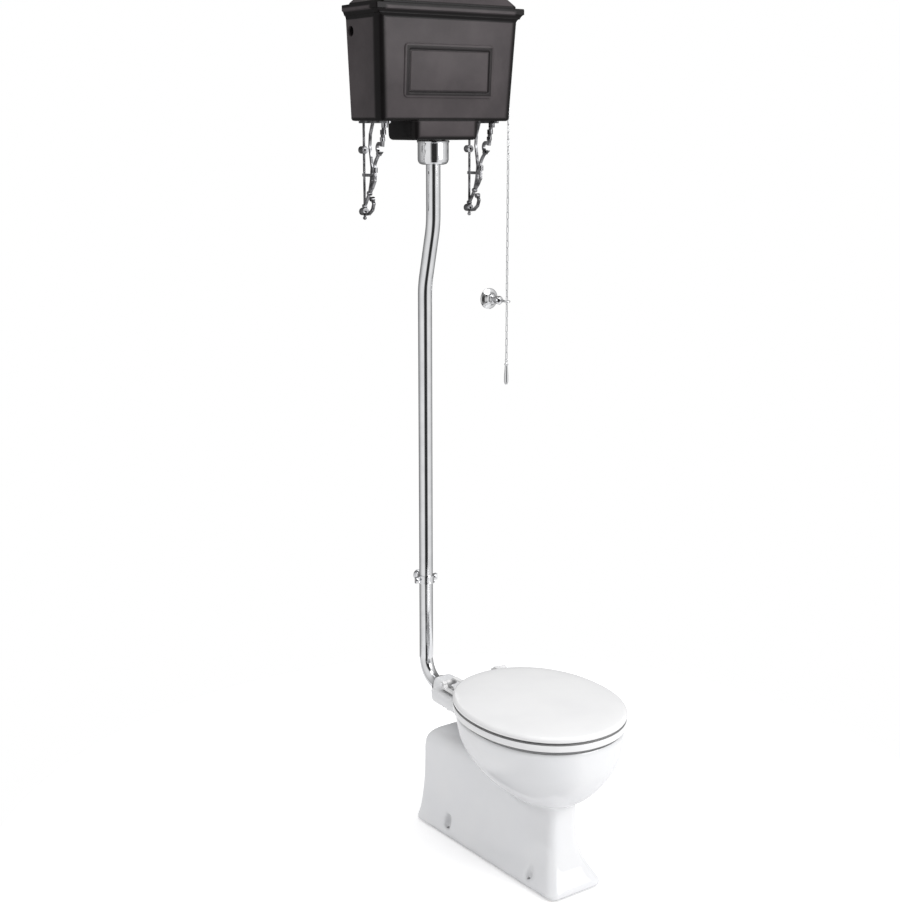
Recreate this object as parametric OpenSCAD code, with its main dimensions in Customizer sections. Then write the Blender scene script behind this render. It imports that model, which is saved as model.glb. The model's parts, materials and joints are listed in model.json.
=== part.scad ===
// High-level toilet: a floor-standing pan, a wall-hung cistern on two scroll brackets,
// the flush pipe between them, and the pull chain that works the siphon.
// Millimetres. +Z is up, +Y goes to the wall, +X is to the right of someone facing the wall.
// The origin is the centre of the soil outlet, on the floor.

/* [Setting out] */
// Distance from the soil outlet's centre to the wall
outlet_to_wall = 225; // [215:1:235]
// Distance from the wall to the axis of the siphon, lever and chain
cistern_axis_to_wall = 78; // [76:1:80]
// Height of the underside of the cistern's box above the floor
tank_z = 1760; // [1700:5:1900]
// Height of the pan's rim above the floor
rim_z = 392; // [388:1:402]

/* [Pan] */
// Width of the pan's rim
rim_w = 358; // [350:1:362]
// Length of the pan's rim
rim_l = 434; // [425:1:440]
// Distance from the wall to the middle of the rim
rim_to_wall = 518; // [510:1:525]
// Width of the flat top of the rim
rim_land = 38; // [32:1:42]
// Depth of the box rim that hangs into the bowl
rim_box = 32; // [26:1:38]
// Width of the foot at the back, on the floor
foot_back_w = 212; // [206:1:216]
// Width of the foot at the toe, on the floor
foot_toe_w = 158; // [152:1:162]
// Length of the foot on the floor
foot_l = 536; // [525:1:545]
// Distance from the wall to the back of the foot
foot_to_wall = 139; // [132:1:146]
// Height of the rounded hump behind the bowl
hump_z = 256; // [250:1:260]
// Wall of the hollow foot
foot_wall = 13; // [10:1:15]
// Bore of the soil outlet
outlet_d = 86; // [80:1:90]
// Outside diameter of the soil outlet's spigot
spigot_d = 104; // [102:1:108]
// Height of the flush inlet's centre above the floor
horn_z = 331; // [328:1:335]
// Outside width of the flush inlet horn
horn_w = 64; // [62:1:68]
// Bore of the flush inlet horn
horn_bore = 50; // [48:1:52]
// Thickness of the two ears that carry the seat
ear_t = 32; // [26:1:36]
// Diameter of the floor screw holes
floor_hole_d = 8; // [6:0.5:9]

/* [Seat] */
// Width of the seat and lid
seat_w = 373; // [366:1:378]
// Length of the seat and lid
seat_l = 448; // [440:1:452]
// Width of the seat's opening
seat_hole_w = 226; // [215:1:235]
// Length of the seat's opening
seat_hole_l = 286; // [275:1:295]
// Thickness of the seat
seat_t = 17; // [14:1:18]
// Thickness of the lid at its edge
lid_t = 13; // [11:1:15]
// Rise of the lid's crown above its edge
lid_crown = 6; // [4:0.5:8]
// Gap that the seat's buffers keep above the rim
seat_gap = 5; // [4.5:0.1:6]
// Gap that the lid's buffers keep above the seat
lid_gap = 4.6; // [4.4:0.1:6]
// Distance between the seat's two fixing holes
hinge_centres = 155; // [150:1:160]
// Distance from the wall to the hinge pins
hinge_to_wall = 255; // [250:1:260]
// Diameter of the hinge pins
hinge_pin_d = 6; // [5:0.5:7]
// Diameter of the seat's fixing studs
hinge_stud_d = 8; // [6:0.5:9]

/* [Flush pipe] */
// Outside diameter of the flush pipe
pipe_d = 35; // [34:0.5:35.5]
// Wall of the flush pipe
pipe_wall = 1.5; // [1:0.1:2]
// Distance from the wall to the lower length of the pipe
pipe_to_wall = 40; // [38:1:48]
// Height of the top of the swan neck
swan_top_z = 1540; // [1500:1:1580]
// Angle of the swan neck's sloping length
swan_angle = 14; // [12:0.5:18]
// Bend radius of the swan neck
swan_r = 200; // [150:5:220]
// Bend radius of the bottom elbow
elbow_r = 58; // [52:1:62]
// Height of the pipe clip
clip_z = 604; // [500:1:900]
// Height of the clip's band
clip_h = 20; // [16:1:24]

/* [Cistern] */
// Width of the cistern's box under its rim
tank_w = 400; // [396:1:404]
// Depth of the box under its rim
tank_d = 144; // [142:1:148]
// How much narrower the box is at its bottom
tank_taper_w = 22; // [16:1:26]
// How much shallower the box is at its bottom
tank_taper_d = 13; // [10:1:15]
// Height of the box up to its rim moulding
tank_h = 230; // [226:1:240]
// Height of the rim moulding
moulding_h = 30; // [28:1:34]
// How far the rim moulding stands out
moulding_out = 9; // [6:0.5:11]
// Wall of the cast cistern
tank_wall = 5; // [4:0.5:6]
// Gap between the cistern's back and the wall
tank_gap = 9; // [7:0.5:10]
// Width of the sump under the box
sump_w = 190; // [184:1:196]
// Depth of the sump, front to back
sump_d = 122; // [118:1:126]
// How far the sump hangs below the box
sump_h = 44; // [42:1:46]
// Diameter of the overflow hole in the cistern's left end
end_hole_d = 24; // [23.5:0.5:25]
// Diameter of the fill valve's hole in the right end
valve_hole_d = 22.8; // [22.8:0.1:23]
// Distance from the top of the box down to the end holes
end_hole_down = 28; // [25:1:32]
// Height of the cistern's lid
cover_h = 40; // [34:1:46]

/* [Pull] */
// Distance from the cistern's middle to the lever's pivot
pivot_x = 117; // [113:1:119]
// Length of the lever's outer arm
arm_out = 110; // [106:1:114]
// Length of the lever's inner arm
arm_in = 68; // [66:1:70]
// Whole travel of the lever
lever_travel = 25; // [20:1:26]
// Height of the chain guide above the floor
guide_z = 1312; // [1250:1:1500]
// Length of one chain link
link_l = 22; // [20:0.5:24]
// Wire of the chain's links
link_wire = 2; // [1.6:0.1:2.2]
// Number of links in the chain
link_count = 47; // [41:2:49]
// Length of the pull handle
handle_l = 58; // [50:1:66]
// Diameter of the pull handle
handle_d = 11; // [10:0.5:12]

/* [Brackets] */
// Distance between the two brackets
bracket_centres = 308; // [300:2:316]
// Width of a bracket's flat bars
bracket_w = 14; // [12:1:16]
// Height of a bracket, down to its bottom screw
bracket_h = 212; // [206:1:220]
// Reach of a bracket's top bar from the wall
bracket_reach = 122; // [118:1:126]
// Diameter of the wall screw holes
wall_hole_d = 5.5; // [4.5:0.5:6]

/* [Hidden] */
$fn = 48;

china = "white";
chrome = "silver";
cast = [0.16, 0.15, 0.16];
brass = [0.72, 0.58, 0.3];
nylon = [0.85, 0.85, 0.82];
rubber = [0.13, 0.13, 0.13];

// Clearance of a shaft that turns or slides in its hole
running = 0.06;
// Clearance round a fixed piece that only has to go in
loose = 0.3;
// Overlap that makes a cut pass right through
through = 1;
// A bend is this much thicker than the straights, which run this far into it, so that they join
bend_swell = 0.06;
bend_lap = 0.3;

wall_y = outlet_to_wall;
axis_y = wall_y - cistern_axis_to_wall;

// ---------------------------------------------------------------- shapes that repeat

// A closed solid through a stack of rings with equally many points, counter-clockwise from above
module loft(rings) {
    n = len(rings[0]);
    m = len(rings);
    sides = [
        for (j = [0:m - 2]) for (i = [0:n - 1])
            let (a = j * n + i, b = j * n + (i + 1) % n)
            each [[a, a + n, b + n], [a, b + n, b]]
    ];
    bottom = [for (i = [0:n - 1]) i];
    top = [for (i = [n - 1:-1:0]) (m - 1) * n + i];
    polyhedron(points = [for (r = rings) each r], faces = concat(sides, [bottom], [top]), convexity = 6);
}

function at_z(points, z) = [for (p = points) [p[0], p[1], z]];

// An oval with a chosen squareness: 2 is an ellipse
function oval(half_w, y_back, y_front, square = 2, n = 48) = [
    for (i = [0:n - 1])
        let (c = cos(360 * i / n), s = sin(360 * i / n), e = 2 / square)
        [half_w * sign(c) * pow(abs(c), e),
         (y_back + y_front) / 2 + (y_back - y_front) / 2 * sign(s) * pow(abs(s), e)]
];

// A rounded outline whose back and front have their own widths and corner radii
function tapered(back_w, front_w, y_back, y_front, r_back, r_front, k = 5) = concat(
    [for (i = [0:k]) [back_w / 2 - r_back + r_back * cos(90 * i / k),
                      y_back - r_back + r_back * sin(90 * i / k)]],
    [for (i = [0:k]) [-back_w / 2 + r_back - r_back * sin(90 * i / k),
                      y_back - r_back + r_back * cos(90 * i / k)]],
    [for (i = [0:k]) [-front_w / 2 + r_front - r_front * cos(90 * i / k),
                      y_front + r_front - r_front * sin(90 * i / k)]],
    [for (i = [0:k]) [front_w / 2 - r_front + r_front * sin(90 * i / k),
                      y_front + r_front - r_front * cos(90 * i / k)]]
);

// A round rod between two points
module rod(a, b, r) {
    d = b - a;
    length = norm(d);
    translate(a)
        rotate([0, acos(d[2] / length), atan2(d[1], d[0])])
            cylinder(h = length, r = r);
}

// A round rod in the XY plane through a row of points, bent in an arc at each inner one
module bent_rod(points, r, share = 0.46) {
    last = len(points) - 1;
    ways = [for (i = [0:last - 1]) points[i + 1] - points[i]];
    lengths = [for (w = ways) norm(w)];
    units = [for (i = [0:last - 1]) ways[i] / lengths[i]];
    cuts = [for (i = [0:last]) i == 0 || i == last ? 0 : share * min(lengths[i - 1], lengths[i])];
    for (i = [0:last - 1])
        let (a = points[i] + units[i] * (cuts[i] - (i == 0 ? 0 : bend_lap)),
             length = lengths[i] - cuts[i] - cuts[i + 1]
                 + (i == 0 ? 0 : bend_lap) + (i == last - 1 ? 0 : bend_lap))
            translate([a[0], a[1], 0]) rotate([0, 90, atan2(units[i][1], units[i][0])])
                cylinder(h = length, r = r);
    for (i = [1:last - 1])
        let (u = units[i - 1], v = units[i],
             turn = atan2(u[0] * v[1] - u[1] * v[0], u[0] * v[0] + u[1] * v[1]),
             side = sign(turn), bend = cuts[i] / tan(abs(turn) / 2),
             centre = points[i] - u * cuts[i] + side * bend * [-u[1], u[0]],
             from = side > 0 ? -[-u[1], u[0]] : [-v[1], v[0]])
            translate([centre[0], centre[1], 0]) rotate([0, 0, atan2(from[1], from[0])])
                rotate_extrude(angle = abs(turn)) translate([bend, 0]) circle(r = r + bend_swell);
}

// A tube about the Y or X axis
module along_y(r, y0, y1) {
    translate([0, y1, 0]) rotate([90, 0, 0]) cylinder(h = y1 - y0, r = r);
}
module along_x(r, x0, x1) {
    translate([x0, 0, 0]) rotate([0, 90, 0]) cylinder(h = x1 - x0, r = r);
}

// A six-sided nut about Z, with its hole
module hex_nut(across, h, hole_r) {
    difference() {
        cylinder(h = h, r = across / sqrt(3), $fn = 6);
        translate([0, 0, -through]) cylinder(h = h + 2 * through, r = hole_r);
    }
}

// A flat plate with round corners, standing on z = 0
module round_plate(w, l, r, h) {
    linear_extrude(h) {
        square([w - 2 * r, l], center = true);
        square([w, l - 2 * r], center = true);
        for (x = [-1, 1], y = [-1, 1]) translate([x * (w / 2 - r), y * (l / 2 - r)]) circle(r = r);
    }
}

module mirrored() {
    children();
    mirror([1, 0, 0]) children();
}

// ---------------------------------------------------------------- pan

rim_y = wall_y - rim_to_wall;
rim_back = rim_y + rim_l / 2;
rim_front = rim_y - rim_l / 2;
foot_back = wall_y - foot_to_wall;
foot_front = foot_back - foot_l;
hinge_y = wall_y - hinge_to_wall;
ear_top = rim_z - 5;
ear_w = 54;
ear_in = hinge_centres / 2 - 17;
ear_back = hinge_y + 33;
horn_back = wall_y - 110;
// How far the pipe goes into the horn
horn_grip = 34;

// One ring of the bowl's outside: height, and the insets of its sides, back and front from the rim
function bowl_ring(z, side, back, front, square = 2.15) =
    at_z(oval(rim_w / 2 - side, rim_back - back, rim_front + front, square), z);

bowl_rings = [
    bowl_ring(rim_z * 0.46, 148, 190, 190, 2),
    bowl_ring(rim_z * 0.5, 122, 140, 128, 2),
    bowl_ring(rim_z * 0.55, 96, 100, 88),
    bowl_ring(rim_z * 0.6, 73, 72, 62),
    bowl_ring(rim_z * 0.66, 51, 48, 41),
    bowl_ring(rim_z * 0.73, 31, 30, 22),
    bowl_ring(rim_z * 0.8, 16, 15, 8),
    bowl_ring(rim_z * 0.87, 6, 5, 2),
    bowl_ring(rim_z * 0.93, 2, 2, 1),
    bowl_ring(rim_z - 6, 0, 0, 0),
    bowl_ring(rim_z - 1.5, 1, 1, 1),
    bowl_ring(rim_z, 4, 4, 4)
];

// The bowl's water well and the trap that leads from it to the outlet
well_y = -218;
well_r = 43;
well_z = 57;
trap_r = 31;
weir_y = -76;
weir_z = hump_z - 48;
// Straight length of the outlet's bore
outlet_socket = 110;

bowl_inside = [
    bowl_ring(rim_z * 0.44, rim_w / 2 - well_r + 4, rim_back - well_y - well_r + 4,
              well_y - well_r + 4 - rim_front, 2),
    bowl_ring(rim_z * 0.54, 124, 118, 145, 2),
    bowl_ring(rim_z * 0.6, 98, 98, 98, 2),
    bowl_ring(rim_z * 0.67, 71, 72, 66, 2),
    bowl_ring(rim_z * 0.75, 46, 47, 42, 2),
    bowl_ring(rim_z * 0.84, 29, 31, 26, 2.1),
    bowl_ring(rim_z - rim_box - 6, 22, 24, 20, 2.1),
    bowl_ring(rim_z - rim_box, rim_land - 3, rim_land + 3, rim_land - 3, 2.1),
    bowl_ring(rim_z - 5, rim_land - 3, rim_land + 3, rim_land - 3, 2.1),
    bowl_ring(rim_z - 1, rim_land - 1, rim_land + 5, rim_land - 1, 2.1),
    bowl_ring(rim_z + through, rim_land + 1, rim_land + 7, rim_land + 1, 2.1)
];

// One ring of the foot: height, and how far its back, toe, back width and toe width are drawn in
function foot_ring(z, back, toe, narrow_back, narrow_toe, r_back = 30, r_toe = 24, inset = 0) =
    at_z(tapered(foot_back_w - 2 * (narrow_back + inset), foot_toe_w - 2 * (narrow_toe + inset),
                 foot_back - back - inset, foot_front + toe + inset,
                 max(r_back - inset, 6), max(r_toe - inset, 6)), z);

foot_rings = [
    foot_ring(0, 0, 0, 0, 0, 18),
    foot_ring(13, 0, 0, 0, 0, 18),
    foot_ring(17, 3, 3, 2.5, 3, 18),
    foot_ring(32, 6, 14, 6, 11, 18),
    foot_ring(55, 9, 30, 9, 21, 18),
    foot_ring(85, 12, 43, 11, 29, 19),
    foot_ring(120, 14, 50, 13, 34, 20),
    foot_ring(hump_z - 84, 15, 52, 14, 36, 21),
    foot_ring(hump_z - 45, 15, 52, 14, 36, 22),
    foot_ring(hump_z - 26, 17, 56, 16, 37, 24),
    foot_ring(hump_z - 13, 23, 64, 22, 39, 28),
    foot_ring(hump_z - 4, 33, 80, 32, 43, 34),
    foot_ring(hump_z, 48, 100, 46, 49, 30)
];

foot_hollow = [
    foot_ring(-through, 0, 0, 0, 0, 22, 24, foot_wall),
    foot_ring(14, 0, 0, 0, 0, 22, 24, foot_wall),
    foot_ring(60, 10, 34, 10, 24, 22, 24, foot_wall),
    foot_ring(120, 16, 52, 15, 35, 22, 24, foot_wall),
    foot_ring(hump_z - 96, 18, 70, 16, 37, 22, 24, foot_wall)
];

// Floor screw places: x, y and the side that they are on
screw_back_y = wall_y - 268;
screw_toe_y = wall_y - 578;
function foot_half(y) =
    let (share = (foot_back - y) / foot_l)
    foot_back_w / 2 + (foot_toe_w - foot_back_w) / 2 * share;
screw_in = 13;
floor_screws_at = [
    for (y = [screw_back_y, screw_toe_y]) for (side = [-1, 1]) [side * (foot_half(y) - screw_in), y]
];

module trap_body(extra) {
    translate([0, well_y, well_z]) cylinder(h = rim_z * 0.5 - well_z, r = well_r + extra);
    translate([0, well_y, well_z]) sphere(r = well_r + extra);
    rod([0, well_y + 6, well_z], [0, weir_y, weir_z], trap_r + extra);
    translate([0, weir_y, weir_z]) sphere(r = trap_r + extra);
    rod([0, weir_y, weir_z], [0, 0, weir_z - 8], trap_r + extra);
}

module pan() {
    color(china)
    difference() {
        union() {
            loft(bowl_rings);
            difference() {
                loft(foot_rings);
                difference() {
                    loft(foot_hollow);
                    trap_body(11);
                    translate([0, 0, -2 * through]) cylinder(h = hump_z, r = spigot_d / 2);
                }
            }
            pan_horn();
            mirrored() pan_ear();
            for (p = floor_screws_at) {
                translate([p[0], p[1], 0]) cylinder(h = 24, r = 11);
                translate([p[0] - 26 * sign(p[0]), p[1], 0]) cylinder(h = 58, r = 18);
            }
        }
        loft(bowl_inside);
        trap_body(0);
        translate([0, 0, -through]) cylinder(h = outlet_socket + through, r = outlet_d / 2);
        cylinder(h = weir_z - 12, r = outlet_d / 2 - 3);
        translate([0, 0, weir_z - 12]) sphere(r = outlet_d / 2 - 3);
        translate([0, 0, horn_z]) along_y(horn_bore / 2, horn_back - horn_grip - 8, horn_back + through);
        translate([0, 0, horn_z]) along_y(16, rim_back - 60, horn_back);
        for (side = [-1, 1])
            translate([side * hinge_centres / 2, hinge_y, rim_z - 2 * ear_t])
                cylinder(h = 2 * ear_t, r = hinge_stud_d / 2 + 3.5);
        for (p = floor_screws_at) {
            translate([p[0], p[1], -through]) cylinder(h = 30, r = floor_hole_d / 2);
            translate([p[0], p[1], 20]) cylinder(h = 36, r = 10);
        }
    }
}

module pan_horn() {
    half = horn_w / 2;
    corner = 16;
    translate([0, horn_back, horn_z])
        rotate([90, 0, 0])
            round_plate(horn_w, horn_w, corner, horn_back - rim_back + 60);
}

module pan_ear() {
    translate([ear_in + ear_w / 2, (ear_back + rim_back - 60) / 2, ear_top - ear_t])
        round_plate(ear_w, ear_back - rim_back + 60, 12, ear_t);
}

// ---------------------------------------------------------------- flush pipe

pipe_y = wall_y - pipe_to_wall;
pipe_r = pipe_d / 2;
swan_offset = cistern_axis_to_wall - pipe_to_wall;
swan_bend_drop = swan_r * sin(swan_angle);
swan_bend_out = swan_r * (1 - cos(swan_angle));
swan_slope = (swan_offset - 2 * swan_bend_out) / sin(swan_angle);
swan_low_z = swan_top_z - 2 * swan_bend_drop - swan_slope * cos(swan_angle);
elbow_top_z = horn_z + elbow_r;
pipe_end_y = horn_back - horn_grip;
sump_z = tank_z - sump_h;
pipe_top_z = sump_z - 22;

// The pipe's outline at radius r: used once for the tube and once for its bore
module pipe_run(r, extra) {
    bend_r = r + bend_swell;
    lap = bend_lap;
    // the length that hangs from the cistern
    translate([0, axis_y, swan_top_z - lap]) cylinder(h = pipe_top_z - swan_top_z + lap + extra, r = r);
    translate([0, axis_y + swan_r, swan_top_z])
        rotate([0, 90, 0]) rotate([0, 0, -90])
            rotate_extrude(angle = swan_angle) translate([swan_r, 0]) circle(r = bend_r);
    // the sloping length between the two bends
    translate([0, axis_y + swan_bend_out, swan_top_z - swan_bend_drop])
        rotate([180 + swan_angle, 0, 0])
            translate([0, 0, -lap]) cylinder(h = swan_slope + 2 * lap, r = r);
    translate([0, pipe_y - swan_r, swan_low_z])
        rotate([0, 90, 0]) rotate([0, 0, 90])
            rotate_extrude(angle = swan_angle) translate([swan_r, 0]) circle(r = bend_r);
    // the long length down the wall, and the elbow into the pan
    translate([0, pipe_y, elbow_top_z - lap]) cylinder(h = swan_low_z - elbow_top_z + 2 * lap, r = r);
    translate([0, pipe_y - elbow_r, elbow_top_z])
        rotate([0, 90, 0])
            rotate_extrude(angle = 90) translate([elbow_r, 0]) circle(r = bend_r);
    translate([0, 0, horn_z]) along_y(r, pipe_end_y - extra, pipe_y - elbow_r + lap);
}

module flush_pipe() {
    color(chrome)
    difference() {
        pipe_run(pipe_r, 0);
        pipe_run(pipe_r - pipe_wall, through);
    }
}

module flush_cone() {
    color(rubber)
    translate([0, 0, horn_z])
    difference() {
        union() {
            along_y(horn_bore / 2 - loose, pipe_end_y, horn_back + 2);
            along_y(horn_bore / 2 + 2, horn_back + 0.2, horn_back + 3);
        }
        along_y(pipe_r + loose / 3, pipe_end_y - through, horn_back + 5);
    }
}

tail_r = 23.9;
nut_r = 38.5;
nut_h = 58;
nut_z = sump_z - nut_h;
seal_z = nut_z + 6;
seal_h = 7;
tail_z = seal_z + seal_h + 0.4;
backnut_h = 10;

// The chrome cup that covers the siphon's nut and grips the pipe
module pipe_nut() {
    color(chrome)
    translate([0, axis_y, nut_z])
    difference() {
        rotate_extrude()
            polygon([[0, 0], [nut_r - 12, 0], [nut_r - 6, 2], [nut_r - 2.5, 6], [nut_r - 1, 12], [nut_r - 1, nut_h - 7],
                     [nut_r, nut_h - 6], [nut_r + 1, nut_h - 3.5], [nut_r, nut_h - 1], [0, nut_h - 1]]);
        translate([0, 0, -through]) cylinder(h = nut_h, r = pipe_r + loose);
        translate([0, 0, seal_z - nut_z]) cylinder(h = nut_h, r = tail_r + running);
        translate([0, 0, nut_h - backnut_h - 4]) cylinder(h = backnut_h + 5, r = 34.6);
    }
}

module pipe_seal() {
    color(rubber)
    translate([0, axis_y, seal_z])
    difference() {
        cylinder(h = seal_h, r = tail_r - loose);
        translate([0, 0, -through]) cylinder(h = seal_h + 2 * through, r = pipe_r + loose / 3);
    }
}

clip_r = pipe_r + 3.5;
clip_lug = 12;

module clip_half(front) {
    turn = front ? 0 : 180;
    translate([0, pipe_y, clip_z])
    rotate([0, 0, turn])
    difference() {
        union() {
            translate([0, 0, -clip_h / 2]) cylinder(h = clip_h, r = clip_r);
            for (z = [-clip_h / 2, clip_h / 2 - 3]) translate([0, 0, z]) cylinder(h = 3, r = clip_r + 1.2);
            translate([-clip_r - clip_lug, -3.6, -clip_h / 2 + 2]) cube([2 * (clip_r + clip_lug), 3.2, clip_h - 4]);
        }
        translate([0, 0, -clip_h]) cylinder(h = 2 * clip_h, r = pipe_r + loose / 3);
        translate([-2 * clip_r, -0.4, -clip_h]) cube([4 * clip_r, 2 * clip_r, 2 * clip_h]);
        for (side = [-1, 1])
            translate([side * (clip_r + clip_lug / 2 + 0.5), 0, 0]) along_y(2.1, -8, 8);
    }
}

module clip_front() {
    color(chrome) clip_half(true);
}

stud_r = 4;
clip_back_face = clip_r + 0.5;
module clip_back() {
    color(chrome)
    difference() {
        union() {
            clip_half(false);
            translate([0, pipe_y, clip_z])
                along_y(8, clip_r - 1, clip_back_face + 2.5);
        }
        translate([0, pipe_y, clip_z]) along_y(stud_r + running, clip_r - 0.4, clip_back_face + 7);
        translate([0, pipe_y, clip_z - clip_h]) cylinder(h = 2 * clip_h, r = pipe_r + loose / 3);
    }
}

module clip_screws() {
    color(chrome)
    for (side = [-1, 1])
        translate([side * (clip_r + clip_lug / 2 + 0.5), pipe_y, clip_z]) {
            along_y(2, -8, 7.5);
            along_y(3.8, -6.2, -3.7);
            along_y(3.8, 3.7, 6.2);
        }
}

rose_t = 9;
module clip_stud() {
    color(chrome)
    translate([0, 0, clip_z]) {
        along_y(stud_r, pipe_y + clip_r - 0.2, wall_y - rose_t + 3);
        along_y(5.5, wall_y - rose_t - 5, wall_y - rose_t - 0.2);
    }
}

module clip_rose() {
    color(chrome)
    translate([0, wall_y, clip_z])
    rotate([90, 0, 0])
    difference() {
        rotate_extrude()
            polygon([[0, 0], [13.5, 0], [13.5, 1.5], [12, 3], [8.5, 4.5], [7.5, 6.5], [6.5, rose_t], [0, rose_t]]);
        translate([0, 0, rose_t - 4]) cylinder(h = 6, r = stud_r + running);
        for (side = [-1, 1]) translate([0, side * 10, -through]) cylinder(h = 12, r = 1.6);
    }
}

// ---------------------------------------------------------------- cistern

box_top = tank_z + tank_h;
tank_top = box_top + moulding_h;
tank_back = wall_y - tank_gap;
inside_back = tank_back - tank_wall;
function lean(z) = (z - tank_z) / tank_h;
function half_w_at(z) = (tank_w - tank_taper_w * (1 - lean(z))) / 2;
function front_at(z) = tank_back - tank_d + tank_taper_d * (1 - lean(z));

function tank_ring(z, out, at = undef, crisp = 0) =
    let (h = min(is_undef(at) ? z : at, box_top))
    at_z(tapered(2 * (half_w_at(h) + out), 2 * (half_w_at(h) + out), tank_back + min(out, 0), front_at(h) - out,
                 max((8 + out) * (1 - crisp), 4), max((18 + out) * (1 - crisp), 5)), z);

moulding_steps = [
    [0, 0], [0.1, 0.22], [0.2, 0.26], [0.27, 0.4], [0.42, 0.52], [0.55, 0.82], [0.66, 1], [0.9, 1], [1, 0.85]
];
tank_outside = concat(
    [tank_ring(tank_z, -5, tank_z), tank_ring(tank_z + 2, -1.6), tank_ring(tank_z + 6, 0)],
    [for (s = moulding_steps) tank_ring(box_top + s[0] * moulding_h, s[1] * moulding_out, crisp = min(s[1] * 1.4, 1))]
);
// The ends of the box turn in at the top, so that the lid has something to rest on
end_ledge = 17;
function mouth_ring(z, ledge) =
    at_z(tapered(tank_w - 2 * ledge, tank_w - 2 * ledge, tank_back - tank_wall,
                 front_at(box_top) + tank_wall, 5, 13), z);
tank_inside = [
    tank_ring(tank_z + tank_wall, -tank_wall - 3),
    tank_ring(tank_z + tank_wall + 5, -tank_wall),
    tank_ring(box_top, -tank_wall),
    mouth_ring(tank_top - 8, tank_wall),
    mouth_ring(tank_top - 7, end_ledge),
    mouth_ring(tank_top + through, end_ledge)
];

sump_y = axis_y;
function sump_ring(z, out) =
    at_z(tapered(sump_w + 2 * out, sump_w + 2 * out, sump_y + sump_d / 2 + out, sump_y - sump_d / 2 - out,
                 14 + out, 14 + out), z);
sump_outside = [
    sump_ring(sump_z, -9), sump_ring(sump_z + 3, -3.5), sump_ring(sump_z + 9, -1),
    sump_ring(sump_z + 20, 0), sump_ring(tank_z + 2, 1)
];
sump_inside = [
    sump_ring(sump_z + tank_wall, -tank_wall - 8), sump_ring(sump_z + tank_wall + 9, -tank_wall - 1),
    sump_ring(tank_z + tank_wall + 1, -tank_wall)
];

end_hole_z = box_top - end_hole_down;
end_hole_y = wall_y - 34;
pivot_z = box_top + 5;
slot_w = 13;
slot_low = pivot_z - (tank_w / 2 - pivot_x) * tan(lever_travel / 2) - 11;
bridge_t = 6;
bridge_w = 22;
bridge_z = pivot_z - 20;
wall_fix_x = 130;
wall_fix_z = box_top - 22;

// The raised frame on the cistern's front, with its bare panel
plate_w = 250;
plate_h = 120;
plate_z = tank_z + 113;
plate_border = 12;
plate_rise = 3;

module cistern_tank() {
    tilt = atan(tank_taper_d / tank_h);
    color(cast)
    difference() {
        union() {
            loft(tank_outside);
            loft(sump_outside);
            translate([0, front_at(plate_z) + 0.4, plate_z])
                rotate([90 + tilt, 0, 0])
                    difference() {
                        round_plate(plate_w, plate_h, 9, plate_rise + 0.4);
                        translate([0, 0, 0.4 + plate_rise / 3])
                            round_plate(plate_w - 2 * plate_border, plate_h - 2 * plate_border, 4, plate_rise + 1);
                    }
            for (side = [-1, 1]) translate([side * wall_fix_x, 0, wall_fix_z])
                along_y(11, tank_back - 1, wall_y);
        }
        difference() {
            union() {
                loft(tank_inside);
                loft(sump_inside);
            }
            bridge_lugs();
        }
        translate([0, axis_y, sump_z - through]) cylinder(h = 12, r = tail_r + loose);
        translate([0, end_hole_y, end_hole_z]) {
            along_x(end_hole_d / 2, -tank_w / 2 - 20, -tank_w / 2 + 30);
            along_x(valve_hole_d / 2, tank_w / 2 - 30, tank_w / 2 + 20);
        }
        for (side = [-1, 1]) translate([side * wall_fix_x, 0, wall_fix_z])
            along_y(wall_hole_d / 2, tank_back - 20, wall_y + through);
        translate([tank_w / 2 - 30, axis_y - slot_w / 2, slot_low]) cube([60, slot_w, tank_top - slot_low + 5]);
        for (y = bridge_screw_ys) translate([pivot_x, y, bridge_z - 12]) cylinder(h = 30, r = 2.6);
    }
}

inside_front = front_at(bridge_z - 14) + tank_wall;
lug_l = 14;
bridge_screw_ys = [inside_back - lug_l / 2 - 1, inside_front + lug_l / 2 + 1];

// Two cast ledges inside the box, which carry the lever's bridge
module bridge_lugs() {
    translate([pivot_x - bridge_w / 2, inside_back - lug_l, bridge_z - 14])
        cube([bridge_w, lug_l + tank_wall / 2, 14]);
    translate([pivot_x - bridge_w / 2, inside_front - tank_wall / 2, bridge_z - 14])
        cube([bridge_w, lug_l + tank_wall / 2, 14]);
}

// The lid's ground plan, drawn in from the rim moulding
cover_in_ends = 18;
cover_in_front = 7;
cover_w = tank_w + 2 * (moulding_out - cover_in_ends);
function cover_ring(z, inset) =
    at_z(tapered(cover_w - 2 * inset, cover_w - 2 * inset,
                 tank_back - 2 - inset, front_at(box_top) - moulding_out + cover_in_front + inset,
                 max(6 - inset / 4, 2), max(10 - inset / 4, 3)), z);
cover_outside = [
    cover_ring(tank_top, 0), cover_ring(tank_top + 5, 0), cover_ring(tank_top + 7, 2),
    cover_ring(tank_top + cover_h * 0.7, 21), cover_ring(tank_top + cover_h * 0.76, 25),
    cover_ring(tank_top + cover_h * 0.9, 26), cover_ring(tank_top + cover_h, 32)
];
cover_inside = [
    cover_ring(tank_top - through, tank_wall), cover_ring(tank_top + 3, tank_wall),
    cover_ring(tank_top + cover_h * 0.7 - 4, 22 + tank_wall), cover_ring(tank_top + cover_h - tank_wall, 32 + tank_wall)
];

// Where the tabs that keep the lid in place stand: inside the box's mouth, at the front and the back
tab_x = 140;
tab_ys = [front_at(box_top) + tank_wall + 2, tank_back - tank_wall - 6];

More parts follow.
